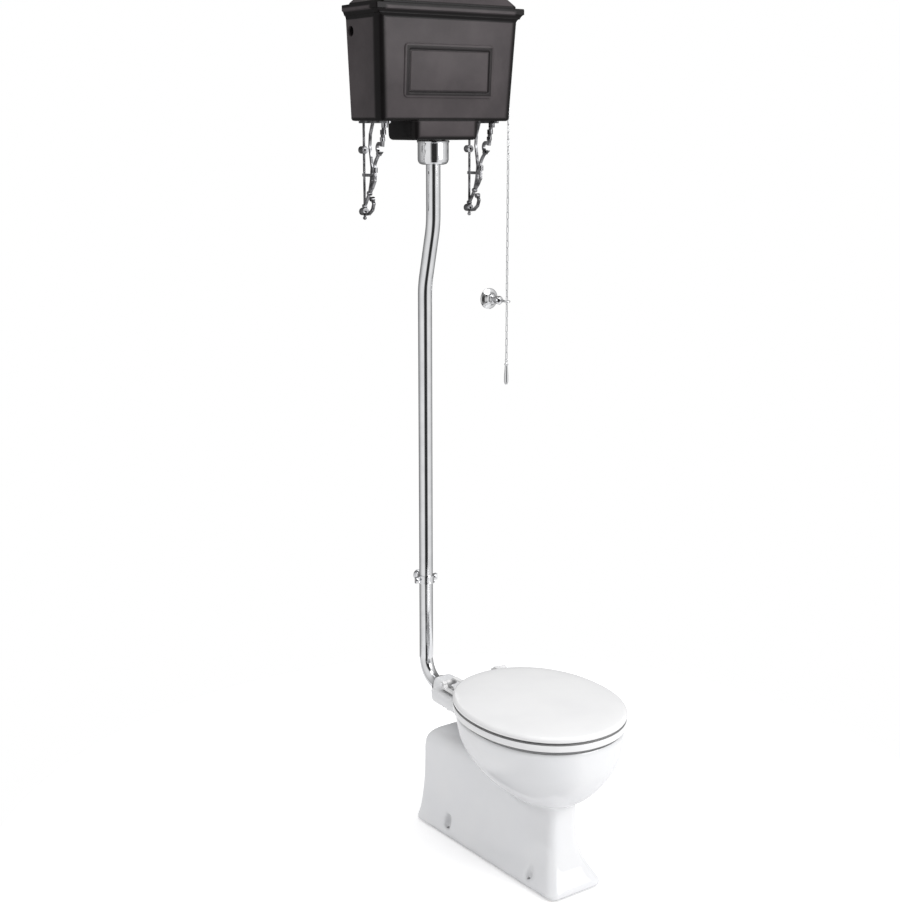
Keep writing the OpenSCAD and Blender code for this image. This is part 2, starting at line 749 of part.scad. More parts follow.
module cistern_cover() {
    color(cast) {
        difference() {
            loft(cover_outside);
            difference() {
                loft(cover_inside);
                for (side = [-1, 1], y = tab_ys) translate([side * tab_x - 8, y, tank_top - 3]) cube([16, 4, 13]);
            }
        }
        for (side = [-1, 1], y = tab_ys) translate([side * tab_x - 8, y, tank_top - 5]) cube([16, 4, 6]);
    }
}

// ---------------------------------------------------------------- brackets

rod_from_wall = 12;
rod_r = 3;
bar_t = 5;
cast_t = 6;
boss_r = 9;
boss_out = 17;

fix_down = 67;
knob_d = 60;
leaf_d = 94;
scroll_d = 83;
scroll_up = -62;
scroll_r = 11;

// A bracket in the plane x = 0. In the plane, a point is its distance from the wall and its height
// above the cistern's underside
module on_bracket() {
    translate([0, wall_y, tank_z]) rotate([90, 0, -90]) children();
}

// A flat strip through a row of points, rounded where it changes its way
module flat_path(points, w) {
    for (i = [0:len(points) - 2])
        let (
            a = points[i],
            b = points[i + 1],
            along = (b - a) / norm(b - a),
            side = [-along[1], along[0]] * w / 2
        )
            polygon([a + side, a - side, b - side, b + side]);
    for (i = [1:len(points) - 2]) translate(points[i]) circle(r = w / 2 + 0.3);
}

// The top bar that the cistern stands on
module bracket_bar() {
    translate([0, wall_y - bracket_reach, tank_z - bar_t])
        linear_extrude(bar_t) {
            translate([-bracket_w / 2, 0]) square([bracket_w, bracket_reach - 1]);
            circle(r = bracket_w / 2);
        }
}

// The flat casting: inner rod, front rod, leaf, scroll, collar and the foot's curl
module bracket_outline() {
    curl = -bracket_h - 6.8;
    flat_path([[54, -2], [42, -30], [39, -58], [44, -84], [48, -108], [44, -138], [35, -168]], 5.4);
    flat_path([[79, -75], [66, -90], [knob_d, -100], [knob_d, -138], [50, -153], [35, -168],
        [rod_from_wall, -200]], 6);
    flat_path([[106, -4], [98, -27], [leaf_d, -58]], 9);
    flat_path([[rod_from_wall, curl], [33, curl + 2.6], [48, curl + 13], [54, curl + 27],
        [47, curl + 38]], 6.4);
    translate([47, curl + 38]) circle(r = 5);
    translate([7, -129]) square([57, 7]);
    translate([scroll_d, scroll_up])
        difference() {
            circle(r = scroll_r + 3.6);
            circle(r = scroll_r - 3.6);
            translate([3, -8]) square([20, 12]);
        }
}
module bracket_casting() {
    on_bracket() {
        translate([0, 0, -cast_t / 2]) linear_extrude(cast_t) bracket_outline();
        translate([79, -75, -5]) cylinder(r = 5.2, h = 10);
        translate([35, -168, -5]) cylinder(r = 5.2, h = 10);
        translate([rod_from_wall, -199, -4.6]) cylinder(r = 4.8, h = 9.2);
        translate([47, 31.2 - bracket_h, -5]) cylinder(r = 5.6, h = 10);
    }
}

// A turned knob with its top at a given place
module bracket_knob(out, up, r, h) {
    on_bracket() rod([out, up - h, 0], [out, up, 0], r);
}

// A round boss on the wall, with its screw hole
module bracket_boss(down) {
    translate([0, wall_y, tank_z - down])
        difference() {
            along_y(boss_r, -boss_out, 0);
            along_y(wall_hole_d / 2, -boss_out - through, through);
        }
}

// The rod down the wall, in three lengths that stop in the bosses, and the finial under it
module bracket_wall_rod() {
    on_bracket() {
        rod([rod_from_wall, -fix_down + 5, 0], [rod_from_wall, -2, 0], rod_r);
        rod([rod_from_wall, -bracket_h + 5, 0], [rod_from_wall, -fix_down - 5, 0], rod_r);
        rod([rod_from_wall, -bracket_h - 16, 0], [rod_from_wall, -bracket_h - 5, 0], rod_r);
        translate([rod_from_wall, -bracket_h - 15, 0]) sphere(r = 4.6);
    }
}

module bracket() {
    union() {
        union() {
            bracket_casting();
            bracket_knob(knob_d, -107, 6.8, 12);
            bracket_knob(105, -3, 7.6, 12);
            bracket_knob(98.5, -20, 7, 11);
            bracket_knob(95.5, -37, 6.2, 9);
            bracket_bar();
        }
        union() {
            bracket_wall_rod();
            bracket_boss(fix_down);
            bracket_boss(bracket_h);
        }
    }
}

module bracket_left() {
    color(chrome) translate([-bracket_centres / 2, 0, 0]) bracket();
}
module bracket_right() {
    color(chrome) translate([bracket_centres / 2, 0, 0]) bracket();
}

// ---------------------------------------------------------------- siphon

leg_r = 22;
leg_bore = 18;
lift_x = pivot_x - arm_in;
chamber_r = 29;
chamber_bore = 26.5;
chamber_z = sump_z + tank_wall + 6;
chamber_top = chamber_z + 66;
crown_z = box_top - 104;
crown_r = lift_x / 2;
lift_rod_r = 3.5;
guide_top = crown_z + crown_r + leg_r + 6;

module siphon_legs(r, chamber, top, down) {
    translate([0, axis_y, tail_z - down]) cylinder(h = crown_z - tail_z + down, r = r);
    translate([lift_x, axis_y, chamber_top - 4]) cylinder(h = crown_z - chamber_top + 4, r = r);
    translate([lift_x, axis_y, chamber_z - down]) cylinder(h = top - chamber_z + down, r = chamber);
    translate([crown_r, axis_y, crown_z])
        rotate([90, 0, 0]) rotate_extrude(angle = 180) translate([crown_r, 0]) circle(r = r);
}

module siphon_body() {
    color(nylon)
    difference() {
        union() {
            siphon_legs(leg_r, chamber_r, chamber_top, 0);
            translate([0, axis_y, tail_z]) cylinder(h = sump_z + tank_wall + 4 - tail_z, r = tail_r);
            translate([0, axis_y, sump_z + tank_wall + 3]) cylinder(h = 4, r = 33);
            translate([lift_x, axis_y, crown_z]) cylinder(h = guide_top - crown_z, r = 7);
        }
        siphon_legs(leg_bore, chamber_bore, chamber_top - 3, through);
        translate([lift_x, axis_y, chamber_z - through]) cylinder(h = 20, r = chamber_bore);
        translate([lift_x, axis_y, crown_z]) cylinder(h = 100, r = lift_rod_r + running);
    }
}

module siphon_washer() {
    color(rubber)
    translate([0, axis_y, sump_z + tank_wall])
    difference() {
        cylinder(h = 3, r = 32);
        translate([0, 0, -through]) cylinder(h = 6, r = tail_r + loose / 3);
    }
}

module siphon_backnut() {
    color(nylon)
    translate([0, axis_y, sump_z - backnut_h])
        hex_nut(58, backnut_h, tail_r + running);
}

piston_t = 9;
plate_low = chamber_z + 10;
lever_rise = arm_in * sin(lever_travel / 2);
lever_drop = arm_out * sin(lever_travel / 2);
lift_eye_z = pivot_z - lever_rise - 32;

module siphon_rod() {
    color(brass)
    translate([lift_x, axis_y, 0])
    difference() {
        union() {
            translate([0, 0, plate_low - 5]) cylinder(h = lift_eye_z - plate_low, r = lift_rod_r);
            translate([0, 0, plate_low - 4.1]) cylinder(h = 4, r = 7);
            translate([0, 0, lift_eye_z]) along_y(7, -2, 2);
        }
        translate([0, 0, lift_eye_z]) along_y(4, -5, 5);
    }
}

module siphon_plate() {
    color(brass)
    translate([lift_x, axis_y, plate_low])
    difference() {
        cylinder(h = piston_t, r = chamber_bore - 0.6);
        translate([0, 0, -through]) cylinder(h = piston_t + 2, r = lift_rod_r + running);
        for (a = [0:60:300]) rotate([0, 0, a]) translate([15, 0, -through]) cylinder(h = piston_t + 2, r = 5);
    }
}

module siphon_flap() {
    color(rubber)
    translate([lift_x, axis_y, plate_low + piston_t + 0.05])
    difference() {
        cylinder(h = 1.5, r = chamber_bore - 0.4);
        translate([0, 0, -through]) cylinder(h = 4, r = lift_rod_r + running);
    }
}

// ---------------------------------------------------------------- lever, fill valve and float

eye_r = 9.5;
eye_hole = 5.5;
lever_t = 6;
ring_wire = 1.2;
ring_r = 8;
lift_wire = 1.4;
lift_half = 7.5;
// How far below the eye's centre a wire hangs in it
hang = 2.6;
arm_in_span = arm_in / cos(lever_travel / 2);

// An oval wire link that hangs in the lever's inner eye and holds the siphon's rod
module lift_link() {
    top = pivot_z - lever_rise - hang;
    bottom = lift_eye_z + 2;
    half = lift_half;
    color(brass)
    translate([lift_x, axis_y, 0])
    rotate([0, 0, 90]) {
        for (side = [-1, 1])
            translate([side * half, 0, bottom + half - bend_lap])
                cylinder(h = top - bottom - 2 * half + 2 * bend_lap, r = lift_wire);
        translate([0, 0, top - half]) rotate([90, 0, 0])
            rotate_extrude(angle = 180) translate([half, 0]) circle(r = lift_wire + bend_swell);
        translate([0, 0, bottom + half]) rotate([90, 0, 0]) rotate([0, 0, 180])
            rotate_extrude(angle = 180) translate([half, 0]) circle(r = lift_wire + bend_swell);
    }
}

module lever() {
    color(brass)
    translate([pivot_x, axis_y, pivot_z])
    rotate([0, -lever_travel / 2, 0])
    rotate([90, 0, 0])
    difference() {
        translate([0, 0, -lever_t / 2]) {
            cylinder(h = lever_t, r = 11);
            translate([arm_out, 0, 0]) cylinder(h = lever_t, r = eye_r);
            translate([-arm_in, 0, 0]) cylinder(h = lever_t, r = eye_r);
            linear_extrude(lever_t)
                polygon([[-arm_in, -4], [0, -8], [arm_out, -4], [arm_out, 4], [0, 8], [-arm_in, 4]]);
        }
        translate([0, 0, -lever_t]) {
            cylinder(h = 2 * lever_t, r = 4 + running);
            translate([arm_out, 0, 0]) cylinder(h = 2 * lever_t, r = eye_hole);
            translate([-arm_in, 0, 0]) cylinder(h = 2 * lever_t, r = eye_hole);
        }
    }
}

cheek_y = lever_t / 2 + 1;
cheek_t = 4;
module lever_pin() {
    color(chrome)
    translate([pivot_x, axis_y, pivot_z]) {
        along_y(4, -cheek_y - cheek_t - 4, cheek_y + cheek_t + 2);
        along_y(6.5, cheek_y + cheek_t + 0.1, cheek_y + cheek_t + 3);
        translate([-7, -cheek_y - cheek_t - 2.5, 0]) rotate([0, 90, 0]) cylinder(h = 14, r = 1);
    }
}

module lever_bridge() {
    color(brass)
    difference() {
        union() {
            translate([pivot_x - bridge_w / 2 + 0.5, inside_front + 1, bridge_z])
                cube([bridge_w - 1, inside_back - inside_front - 2, bridge_t]);
            for (side = [-1, 1])
                translate([pivot_x, axis_y + side * (cheek_y + cheek_t / 2), 0]) {
                    translate([-8, -cheek_t / 2, bridge_z]) cube([16, cheek_t, pivot_z - bridge_z]);
                    translate([0, 0, pivot_z]) along_y(8, -cheek_t / 2, cheek_t / 2);
                }
        }
        translate([pivot_x, axis_y, pivot_z]) along_y(4 + running / 2, -20, 20);
        for (y = bridge_screw_ys) translate([pivot_x, y, bridge_z - 5]) cylinder(h = 20, r = 2.8);
    }
}

module bridge_screws() {
    color(brass)
    for (y = bridge_screw_ys) translate([pivot_x, y, 0]) {
        translate([0, 0, bridge_z - 10]) cylinder(h = bridge_t + 11, r = 2.5);
        translate([0, 0, bridge_z + bridge_t + 0.1]) cylinder(h = 3, r = 4.6);
    }
}

valve_out = 34;
valve_tail_r = 11.2;
// The free end of the tail, which the supply pipe's nut goes on
valve_thread_r = 10.45;
valve_thread_l = 22;
valve_face = half_w_at(end_hole_z) - tank_wall - 4;
valve_len = 42;
valve_end = valve_face - valve_len;
float_pivot_x = valve_end - 6;
float_pivot_z = end_hole_z - 12;
plunger_r = 5;

module valve_body() {
    color(brass)
    translate([0, end_hole_y, end_hole_z])
    difference() {
        union() {
            along_x(valve_tail_r, valve_face, half_w_at(end_hole_z) + valve_out - valve_thread_l);
            along_x(valve_thread_r, valve_face, half_w_at(end_hole_z) + valve_out);
            along_x(15, valve_face - 4, valve_face);
            along_x(11.6, valve_end, valve_face - 2);
            for (side = [-1, 1]) translate([float_pivot_x - 5, side > 0 ? 4.5 : -7.5, -16]) cube([16, 3, 18]);
        }
        along_x(4.5, valve_face - 10, half_w_at(end_hole_z) + valve_out + through);
        along_x(plunger_r + running, valve_end - 14, valve_face - 14);
        translate([0, 0, float_pivot_z - end_hole_z]) translate([float_pivot_x, 0, 0]) along_y(2 + running / 2, -10, 10);
        translate([valve_end - 20, -4.5, -20]) cube([20, 9, 40]);
    }
}

module valve_washers() {
    outer = half_w_at(end_hole_z) + 1.2;
    color(rubber)
    translate([0, end_hole_y, end_hole_z])
    for (x = [valve_face + 0.2, outer])
        difference() {
            along_x(14.5, x, x + 2);
            along_x(valve_tail_r + loose / 3, x - through, x + 4);
        }
}

module valve_backnut() {
    color(brass)
    translate([half_w_at(end_hole_z) + 3.6, end_hole_y, end_hole_z])
        rotate([0, 90, 0]) hex_nut(28, 7, valve_tail_r + running);
}

plunger_travel = 3;
module valve_plunger() {
    color(nylon)
    translate([0, end_hole_y, end_hole_z])
        along_x(plunger_r, valve_end - 3, valve_face - 14 - plunger_travel - 1);
}

module float_pin() {
    color(brass)
    translate([float_pivot_x, end_hole_y, float_pivot_z]) {
        along_y(2, -9, 8.5);
        along_y(3.2, 7.8, 9.5);
    }
}

float_r = 42;
float_x = -100;
float_y = axis_y + 3;
float_z = tank_z + 55;
float_run = norm([float_x - float_pivot_x, float_z - float_pivot_z]);
float_slope = atan2(float_pivot_z - float_z, float_x - float_pivot_x);

// The arm's own frame: X runs from its pivot to the ball's middle
module on_float_arm() {
    translate([float_pivot_x, end_hole_y, float_pivot_z]) rotate([0, float_slope, 0]) children();
}

module float_arm() {
    color(brass)
    difference() {
        union() {
            on_float_arm() {
                bent_rod([[0, 0], [float_run - 96, 0], [float_run - 60, float_y - end_hole_y],
                          [float_run - float_r + 8, float_y - end_hole_y]], 3);
                along_y(5.4, -4.2, 4.2);
            }
            translate([float_pivot_x - 2.5, end_hole_y - 4.2, float_pivot_z]) cube([5, 8.4, 11]);
        }
        translate([float_pivot_x, end_hole_y, float_pivot_z]) along_y(2 + running, -20, 20);
    }
}

float_wall = 2.5;

// A hollow ball with a socket for the arm, turned about the arm's own line
module float_ball() {
    color("orange")
    on_float_arm() translate([float_run, float_y - end_hole_y, 0]) rotate([0, -90, 0])
        rotate_extrude()
            difference() {
                union() {
                    intersection() {
                        difference() {
                            circle(r = float_r);
                            circle(r = float_r - float_wall);
                        }
                        translate([0, -float_r - 1]) square([float_r + 1, 2 * float_r + 2]);
                    }
                    translate([2, float_r - 12]) square([5, 16]);
                }
                translate([-1, 0]) square([4.1, float_r + 10]);
            }
}

// ---------------------------------------------------------------- chain, handle and guide

// The chain hangs midway between the places that the lever's eye swings through
chain_x = pivot_x + arm_out * (1 + cos(lever_travel / 2)) / 2;
eye_z = pivot_z + lever_drop;
ring_z = eye_z - hang - ring_r;
link_r = 3.4;
link_step = link_l - 2 * link_wire - 0.15;
first_link_z = ring_z - ring_r + link_wire / 2 + ring_wire - link_l / 2 + 1.1;

module chain_ring() {
    color(chrome)
    translate([chain_x, axis_y, ring_z])
        rotate([0, 90, 0]) rotate_extrude() translate([ring_r, 0]) circle(r = ring_wire);
}

// One stadium-shaped wire link about its own middle, in the XZ plane
module chain_link() {
    wire = link_wire / 2;
    half = link_l / 2 - wire - (link_r - wire);
    bend = link_r - wire;
    for (side = [-1, 1]) translate([side * bend, 0, -half]) cylinder(h = 2 * half, r = wire);
    for (turn = [0, 180]) rotate([0, turn, 0]) translate([0, 0, half]) rotate([90, 0, 0])
        rotate_extrude(angle = 180) translate([bend, 0]) circle(r = wire);
}

module pull_chain() {
    color(chrome)
    for (i = [0:link_count - 1])
        translate([chain_x, axis_y, first_link_z - i * link_step])
            rotate([0, 0, 90 * (i % 2)]) chain_link();
}

handle_eye_r = 4;
handle_wire = 1.2;
last_link_low = first_link_z - (link_count - 1) * link_step - link_l / 2 + link_wire;
handle_eye_z = last_link_low + handle_wire + 0.2 - handle_eye_r;
handle_top = handle_eye_z - handle_eye_r - 1;

module pull_handle() {
    r = handle_d / 2;
    color(chrome)
    translate([chain_x, axis_y, 0]) {
        translate([0, 0, handle_eye_z]) rotate([0, 0, link_count % 2 == 1 ? 90 : 0]) rotate([90, 0, 0])
            rotate_extrude() translate([handle_eye_r, 0]) circle(r = handle_wire);
        translate([0, 0, handle_top])
            rotate_extrude()
                polygon([[0, 2], [2.2, 2], [2.6, 0], [r - 2, -2], [r - 0.5, -4], [r - 0.5, -6], [r - 2, -8], [r - 1.6, -12],
                         [r, -handle_l * 0.6], [r, -handle_l * 0.85], [r - 1.5, -handle_l + 2.5],
                         [r - 3.5, -handle_l], [0, -handle_l]]);
    }
}

guide_rose_r = 27;
guide_eye_r = 6.6;
guide_wire = 2.2;
guide_len = cistern_axis_to_wall - guide_eye_r - guide_wire / 2;

module guide_plate() {
    color(chrome)
    translate([chain_x, wall_y, guide_z])
    rotate([90, 0, 0])
    difference() {
        union() {
            cylinder(h = 3, r = guide_rose_r - 5);
            cylinder(h = 14, r = 6);
        }
        translate([0, 0, 4]) cylinder(h = 20, r = 3 + running);
        for (side = [-1, 1]) translate([side * 14, 0, -through]) cylinder(h = 6, r = 2.2);
    }
}

module guide_rose() {
    color(chrome)
    translate([chain_x, wall_y, guide_z])
    rotate([90, 0, 0])
    difference() {
        rotate_extrude()
            polygon([[0, 0], [guide_rose_r, 0], [guide_rose_r, 2], [guide_rose_r - 2, 4], [guide_rose_r - 9, 7],
                     [guide_rose_r - 13, 11], [12.5, 16], [0, 16]]);
        translate([0, 0, -through]) cylinder(h = 5, r = guide_rose_r - 4.5);
        translate([0, 0, -through]) cylinder(h = 30, r = 6.4);
    }
}

module guide_arm() {
    color(chrome)
    difference() {
        union() {
            translate([chain_x, wall_y, guide_z]) rotate([90, 0, 0])
                rotate_extrude()
                    polygon([[0, 5], [2.9, 5], [2.9, 14.4], [6, 14.4], [6, 16.4], [11, 16.4], [11.5, 19], [11, 22],
                             [9, 24], [9.5, 40], [11, 43], [11, 46], [9, 50], [3.2, 53], [3, guide_len], [0, guide_len]]);
            translate([chain_x, axis_y, guide_z]) rotate_extrude() translate([guide_eye_r, 0]) circle(r = guide_wire);
        }
    }
}

// ---------------------------------------------------------------- seat, lid and hinges

seat_z = rim_z + seat_gap;
seat_top = seat_z + seat_t;
lid_z = seat_top + lid_gap;
seat_back = hinge_y - 37;
seat_front = seat_back - seat_l;
hole_front = seat_front + (seat_l - seat_hole_l) * 0.44;
hole_back = hole_front + seat_hole_l;
pin_z = seat_z + 9;

function seat_edge(z, inset, square = 2.1) = at_z(oval(seat_w / 2 - inset, seat_back - inset, seat_front + inset, square), z);
function seat_hole(z, inset) =
    at_z(oval(seat_hole_w / 2 - inset, hole_back - inset, hole_front + inset, 2.1), z);

// The seat's section, carried round between its outer edge and its opening
module seat() {
    section = concat(
        [seat_edge(seat_z, 3), seat_edge(seat_z + 2, 0.6), seat_edge(seat_z + seat_t * 0.45, 0),
         seat_edge(seat_top - 3, 1.5), seat_edge(seat_top - 0.6, 4.5), seat_edge(seat_top, 10)],
        [seat_hole(seat_top - 0.6, -18), seat_hole(seat_top - 4.5, -7), seat_hole(seat_top - 9, -1.5),
         seat_hole(seat_z + 4, 0), seat_hole(seat_z + 0.8, -2), seat_hole(seat_z, -5)]
    );
    n = len(section[0]);
    m = len(section);
    color(china)
    difference() {
        polyhedron(
            points = [for (r = section) each r],
            faces = [
                for (j = [0:m - 1]) for (i = [0:n - 1])
                    let (a = j * n + i, b = j * n + (i + 1) % n, c = ((j + 1) % m) * n + i, d = ((j + 1) % m) * n + (i + 1) % n)
                    each [[a, c, d], [a, d, b]]
            ],
            convexity = 6
        );
        mirrored() for (y = strap_holes(seat_strap_l))
            translate([seat_strap_x + strap_w / 2, y, seat_z - through]) cylinder(h = screw_l, r = screw_r + 0.05);
    }
}

module lid() {
    top = lid_z + lid_t;
    color(china)
    difference() {
        loft([
            seat_edge(lid_z + 0.4, 5), seat_edge(lid_z, 3), seat_edge(lid_z + 2.5, 0.5), seat_edge(lid_z + lid_t * 0.5, 0),
            seat_edge(top - 3.5, 1.5), seat_edge(top - 1, 4.5), seat_edge(top, 9), seat_edge(top + lid_crown * 0.45, 30),
            seat_edge(top + lid_crown * 0.8, 75), seat_edge(top + lid_crown * 0.96, 120), seat_edge(top + lid_crown, 160)
        ]);
        mirrored() for (y = strap_holes(lid_strap_l))
            translate([lid_strap_x + strap_w / 2, y, lid_z - through]) cylinder(h = screw_l, r = screw_r + 0.05);
    }
}

buffer_places = [[118, -0.24], [118, 0.3]];
module seat_buffers() {
    color(rubber)
    mirrored() for (p = buffer_places)
        translate([p[0] + 28, rim_y + p[1] * rim_l, rim_z + 0.2]) cylinder(h = seat_gap - 0.2, r = 8);
}

module lid_buffers() {
    color(rubber)
    mirrored() for (p = buffer_places)
        translate([p[0] + 26, rim_y + p[1] * rim_l, seat_top + 0.2]) cylinder(h = lid_gap - 0.2, r = 6);
}

hinge_x = hinge_centres / 2;
knuckle_w = 15;
strap_w = 12;
knuckle_r = 7;
strap_t = 3;
strap_gap = 0.6;
seat_strap_x = hinge_x + knuckle_w / 2 + strap_gap;
lid_strap_x = hinge_x - knuckle_w / 2 - strap_gap - strap_w;
stud_end = ear_top - ear_t - 22;

module hinge_posts() {
    color(chrome)
    mirrored() translate([hinge_x, hinge_y, 0])
    difference() {
        union() {
            translate([0, 0, ear_top + 2]) cylinder(h = 3, r = 13);
            translate([0, 0, ear_top + 4]) cylinder(h = pin_z - ear_top - 6, r = 7);
            translate([0, 0, pin_z]) along_x(knuckle_r + 0.5, -knuckle_w / 2, knuckle_w / 2);
            translate([0, 0, stud_end]) cylinder(h = ear_top + 3 - stud_end, r = hinge_stud_d / 2);
        }
        translate([0, 0, pin_z]) along_x(hinge_pin_d / 2 + running / 2, -20, 20);
    }
}

module hinge_pins() {
    long = knuckle_w / 2 + strap_gap + strap_w + 1;
    color(chrome)
    mirrored() translate([hinge_x, hinge_y, pin_z]) {
        along_x(hinge_pin_d / 2, -long, long);
        for (x = [-long - 1.5, long]) along_x(hinge_pin_d / 2 + 1.5, x, x + 1.5);
    }
}

module hinge_washers() {
    color(rubber)
    mirrored() translate([hinge_x, hinge_y, 0])
    for (z = [[ear_top, 2], [ear_top - ear_t - 2.2, 2]])
        translate([0, 0, z[0]]) difference() {
            cylinder(h = z[1], r = 13);
            translate([0, 0, -through]) cylinder(h = 5, r = hinge_stud_d / 2 + loose / 3);
        }
}

module hinge_nuts() {
    h = 8;
    color(nylon)
    mirrored() translate([hinge_x, hinge_y, ear_top - ear_t - 2.4 - h])
    difference() {
        union() {
            cylinder(h = h, r = 9);
            translate([-17, -2, 0]) cube([34, 4, h]);
        }
        translate([0, 0, -through]) cylinder(h = h + 2 * through, r = hinge_stud_d / 2 + running);
    }
}

// A strap from its knuckle to the piece it carries: level is the strap's underside
module strap(x, level, length) {
    translate([x, 0, 0])
    difference() {
        union() {
            translate([0, hinge_y, pin_z]) along_x(knuckle_r, 0, strap_w);
            translate([0, hinge_y - length, level]) cube([strap_w, length - 4, strap_t]);
            translate([0, 0, 0]) rotate([90, 0, 90])
                linear_extrude(strap_w)
                    polygon([[hinge_y - 12, level], [hinge_y - 12, level + strap_t], [hinge_y - 3, pin_z + 5],
                             [hinge_y + 3, pin_z - 3], [hinge_y - 1, min(level, pin_z - 5)]]);
        }
        translate([0, hinge_y, pin_z]) along_x(hinge_pin_d / 2 + running, -through, strap_w + through);
        for (y = strap_holes(length)) translate([strap_w / 2, y, level - through]) cylinder(h = 8, r = 2.2);
    }
}
screw_r = 2;
screw_l = 11;
function strap_holes(length) = [hinge_y - length + 8, hinge_y - length + 30];

seat_strap_z = seat_z - strap_t;
lid_strap_z = lid_z - strap_t;
seat_strap_l = 112;
lid_strap_l = 96;

module seat_straps() {
    color(chrome) mirrored() strap(seat_strap_x, seat_strap_z, seat_strap_l);
}
module lid_straps() {
    color(chrome) mirrored() strap(lid_strap_x, lid_strap_z, lid_strap_l);
}

module strap_screw() {
    cylinder(h = screw_l - 1, r = screw_r);
}
module seat_screws() {
    color(chrome)
    mirrored() for (y = strap_holes(seat_strap_l))
        translate([seat_strap_x + strap_w / 2, y, seat_strap_z + 0.1]) strap_screw();
}
module lid_screws() {
    color(chrome)
    mirrored() for (y = strap_holes(lid_strap_l))
        translate([lid_strap_x + strap_w / 2, y, lid_strap_z + 0.1]) strap_screw();
}

// ---------------------------------------------------------------- what is drawn

pan();
flush_cone();
flush_pipe();
pipe_nut();
pipe_seal();
clip_front();
clip_back();
clip_screws();
clip_stud();
clip_rose();
cistern_tank();
cistern_cover();
bracket_left();
bracket_right();
siphon_body();
siphon_washer();
siphon_backnut();
siphon_rod();
siphon_plate();
siphon_flap();
lift_link();
lever();
lever_pin();
lever_bridge();
bridge_screws();
valve_body();
valve_washers();
valve_backnut();
valve_plunger();
float_pin();
float_arm();
float_ball();
chain_ring();
pull_chain();
pull_handle();
guide_plate();
guide_rose();
guide_arm();
seat();
seat_buffers();
lid();
lid_buffers();
hinge_posts();
hinge_pins();
hinge_washers();
hinge_nuts();
seat_straps();
lid_straps();
seat_screws();
lid_screws();
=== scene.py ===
# %% [markdown]
# # High tank toilet with a pull chain
# A floor-standing pan of white china, a cast iron cistern high on two chromed scroll brackets,
# and a bent flush pipe between them. The CAD model gives every place and size. This lesson gives
# the parts their finishes, and swaps the faceted castings for smooth ones in the same places.

# %% Load the fixed frame
import json
import math

import bmesh
import bpy
from mathutils import Matrix, Vector


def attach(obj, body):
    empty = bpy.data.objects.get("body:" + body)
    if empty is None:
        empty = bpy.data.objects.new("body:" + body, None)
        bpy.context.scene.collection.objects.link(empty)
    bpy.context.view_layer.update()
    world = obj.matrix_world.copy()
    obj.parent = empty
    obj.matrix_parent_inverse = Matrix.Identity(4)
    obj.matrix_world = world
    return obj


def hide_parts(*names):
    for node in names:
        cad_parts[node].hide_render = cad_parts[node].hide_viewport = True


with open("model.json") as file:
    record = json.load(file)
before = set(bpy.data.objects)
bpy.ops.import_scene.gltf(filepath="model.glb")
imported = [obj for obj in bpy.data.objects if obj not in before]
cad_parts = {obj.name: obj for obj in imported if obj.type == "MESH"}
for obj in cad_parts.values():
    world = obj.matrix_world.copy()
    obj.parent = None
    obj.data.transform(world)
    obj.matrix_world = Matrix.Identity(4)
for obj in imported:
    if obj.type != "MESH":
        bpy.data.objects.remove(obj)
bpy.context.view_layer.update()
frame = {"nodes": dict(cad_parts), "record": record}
nodes = frame["nodes"]

# %% [markdown]
# ## The camera
# The camera stands to the left of the pan, level with the foot of the cistern, and looks slightly
# down. A lens of 57 mm from over three metres away keeps the uprights nearly parallel. Blender
# takes the lens in millimetres, so the length that was fitted in pixels is converted.

# %% Camera
LENS_PIXELS = 1414.3
FRAME_PIXELS = 900
SENSOR = 36.0
CAMERA_TILT, CAMERA_TURN = 77.0, -34.7
lens = bpy.data.cameras.new("photo_lens")
lens.sensor_fit = "HORIZONTAL"
lens.sensor_width = SENSOR
lens.lens = SENSOR * LENS_PIXELS / FRAME_PIXELS
lens.dof.use_dof = False
camera = bpy.data.objects.new("photo_camera", lens)
camera.location = (-1.9439, -2.7315, 1.7521)
camera.rotation_euler = (math.radians(CAMERA_TILT), 0.0, math.radians(CAMERA_TURN))
bpy.context.scene.collection.objects.link(camera)
bpy.context.scene.camera = camera
bpy.context.scene.view_settings.view_transform = "Standard"
print("lens:", round(lens.lens, 2), "mm")

# %% [markdown]
# ## The studio
# Product shots of white china use a white sweep, one broad lamp at the front right and a soft lamp
# overhead. Chrome shows what stands round it, so a studio leaves a dark gap behind the camera.
# Without it, polished pipes vanish against the white. The gap could be a black board on a stand,
# but that would also take light from the china. So the surround and the floor work out for
# themselves which directions are in the gap, and show it only to reflections.

# %% Helpers for node trees: a node with its settings, a link, and a number or link for a socket
WHITE = (1.0, 1.0, 1.0, 1.0)


def node_of(tree, kind, **settings):
    made = tree.nodes.new(kind)
    for name, value in settings.items():
        if name in made.inputs:
            made.inputs[name].default_value = value
        else:
            setattr(made, name, value)
    return made


def join(tree, source, output, target, socket):
    tree.links.new(source.outputs[output], target.inputs[socket])


def feed(tree, socket, value):
    if isinstance(value, (int, float)):
        socket.default_value = value
    else:
        tree.links.new(value, socket)


# %% A sum, a range mapped on another, and a mix of two numbers
def worked(tree, operation, *values):
    made = node_of(tree, "ShaderNodeMath", operation=operation)
    for socket, value in zip(made.inputs, values):
        feed(tree, socket, value)
    return made.outputs["Value"]


def mapped(tree, value, start, end, low=0.0, high=1.0, curve="SMOOTHSTEP"):
    made = node_of(tree, "ShaderNodeMapRange", interpolation_type=curve)
    feed(tree, made.inputs["Value"], value)
    for name, limit in (("From Min", start), ("From Max", end), ("To Min", low), ("To Max", high)):
        made.inputs[name].default_value = limit
    return made.outputs["Result"]


def mixed(tree, share, usual, other):
    made = node_of(tree, "ShaderNodeMix", data_type="FLOAT")
    for name, value in (("Factor", share), ("A", usual), ("B", other)):
        feed(tree, made.inputs[name], value)
    return made.outputs["Result"]


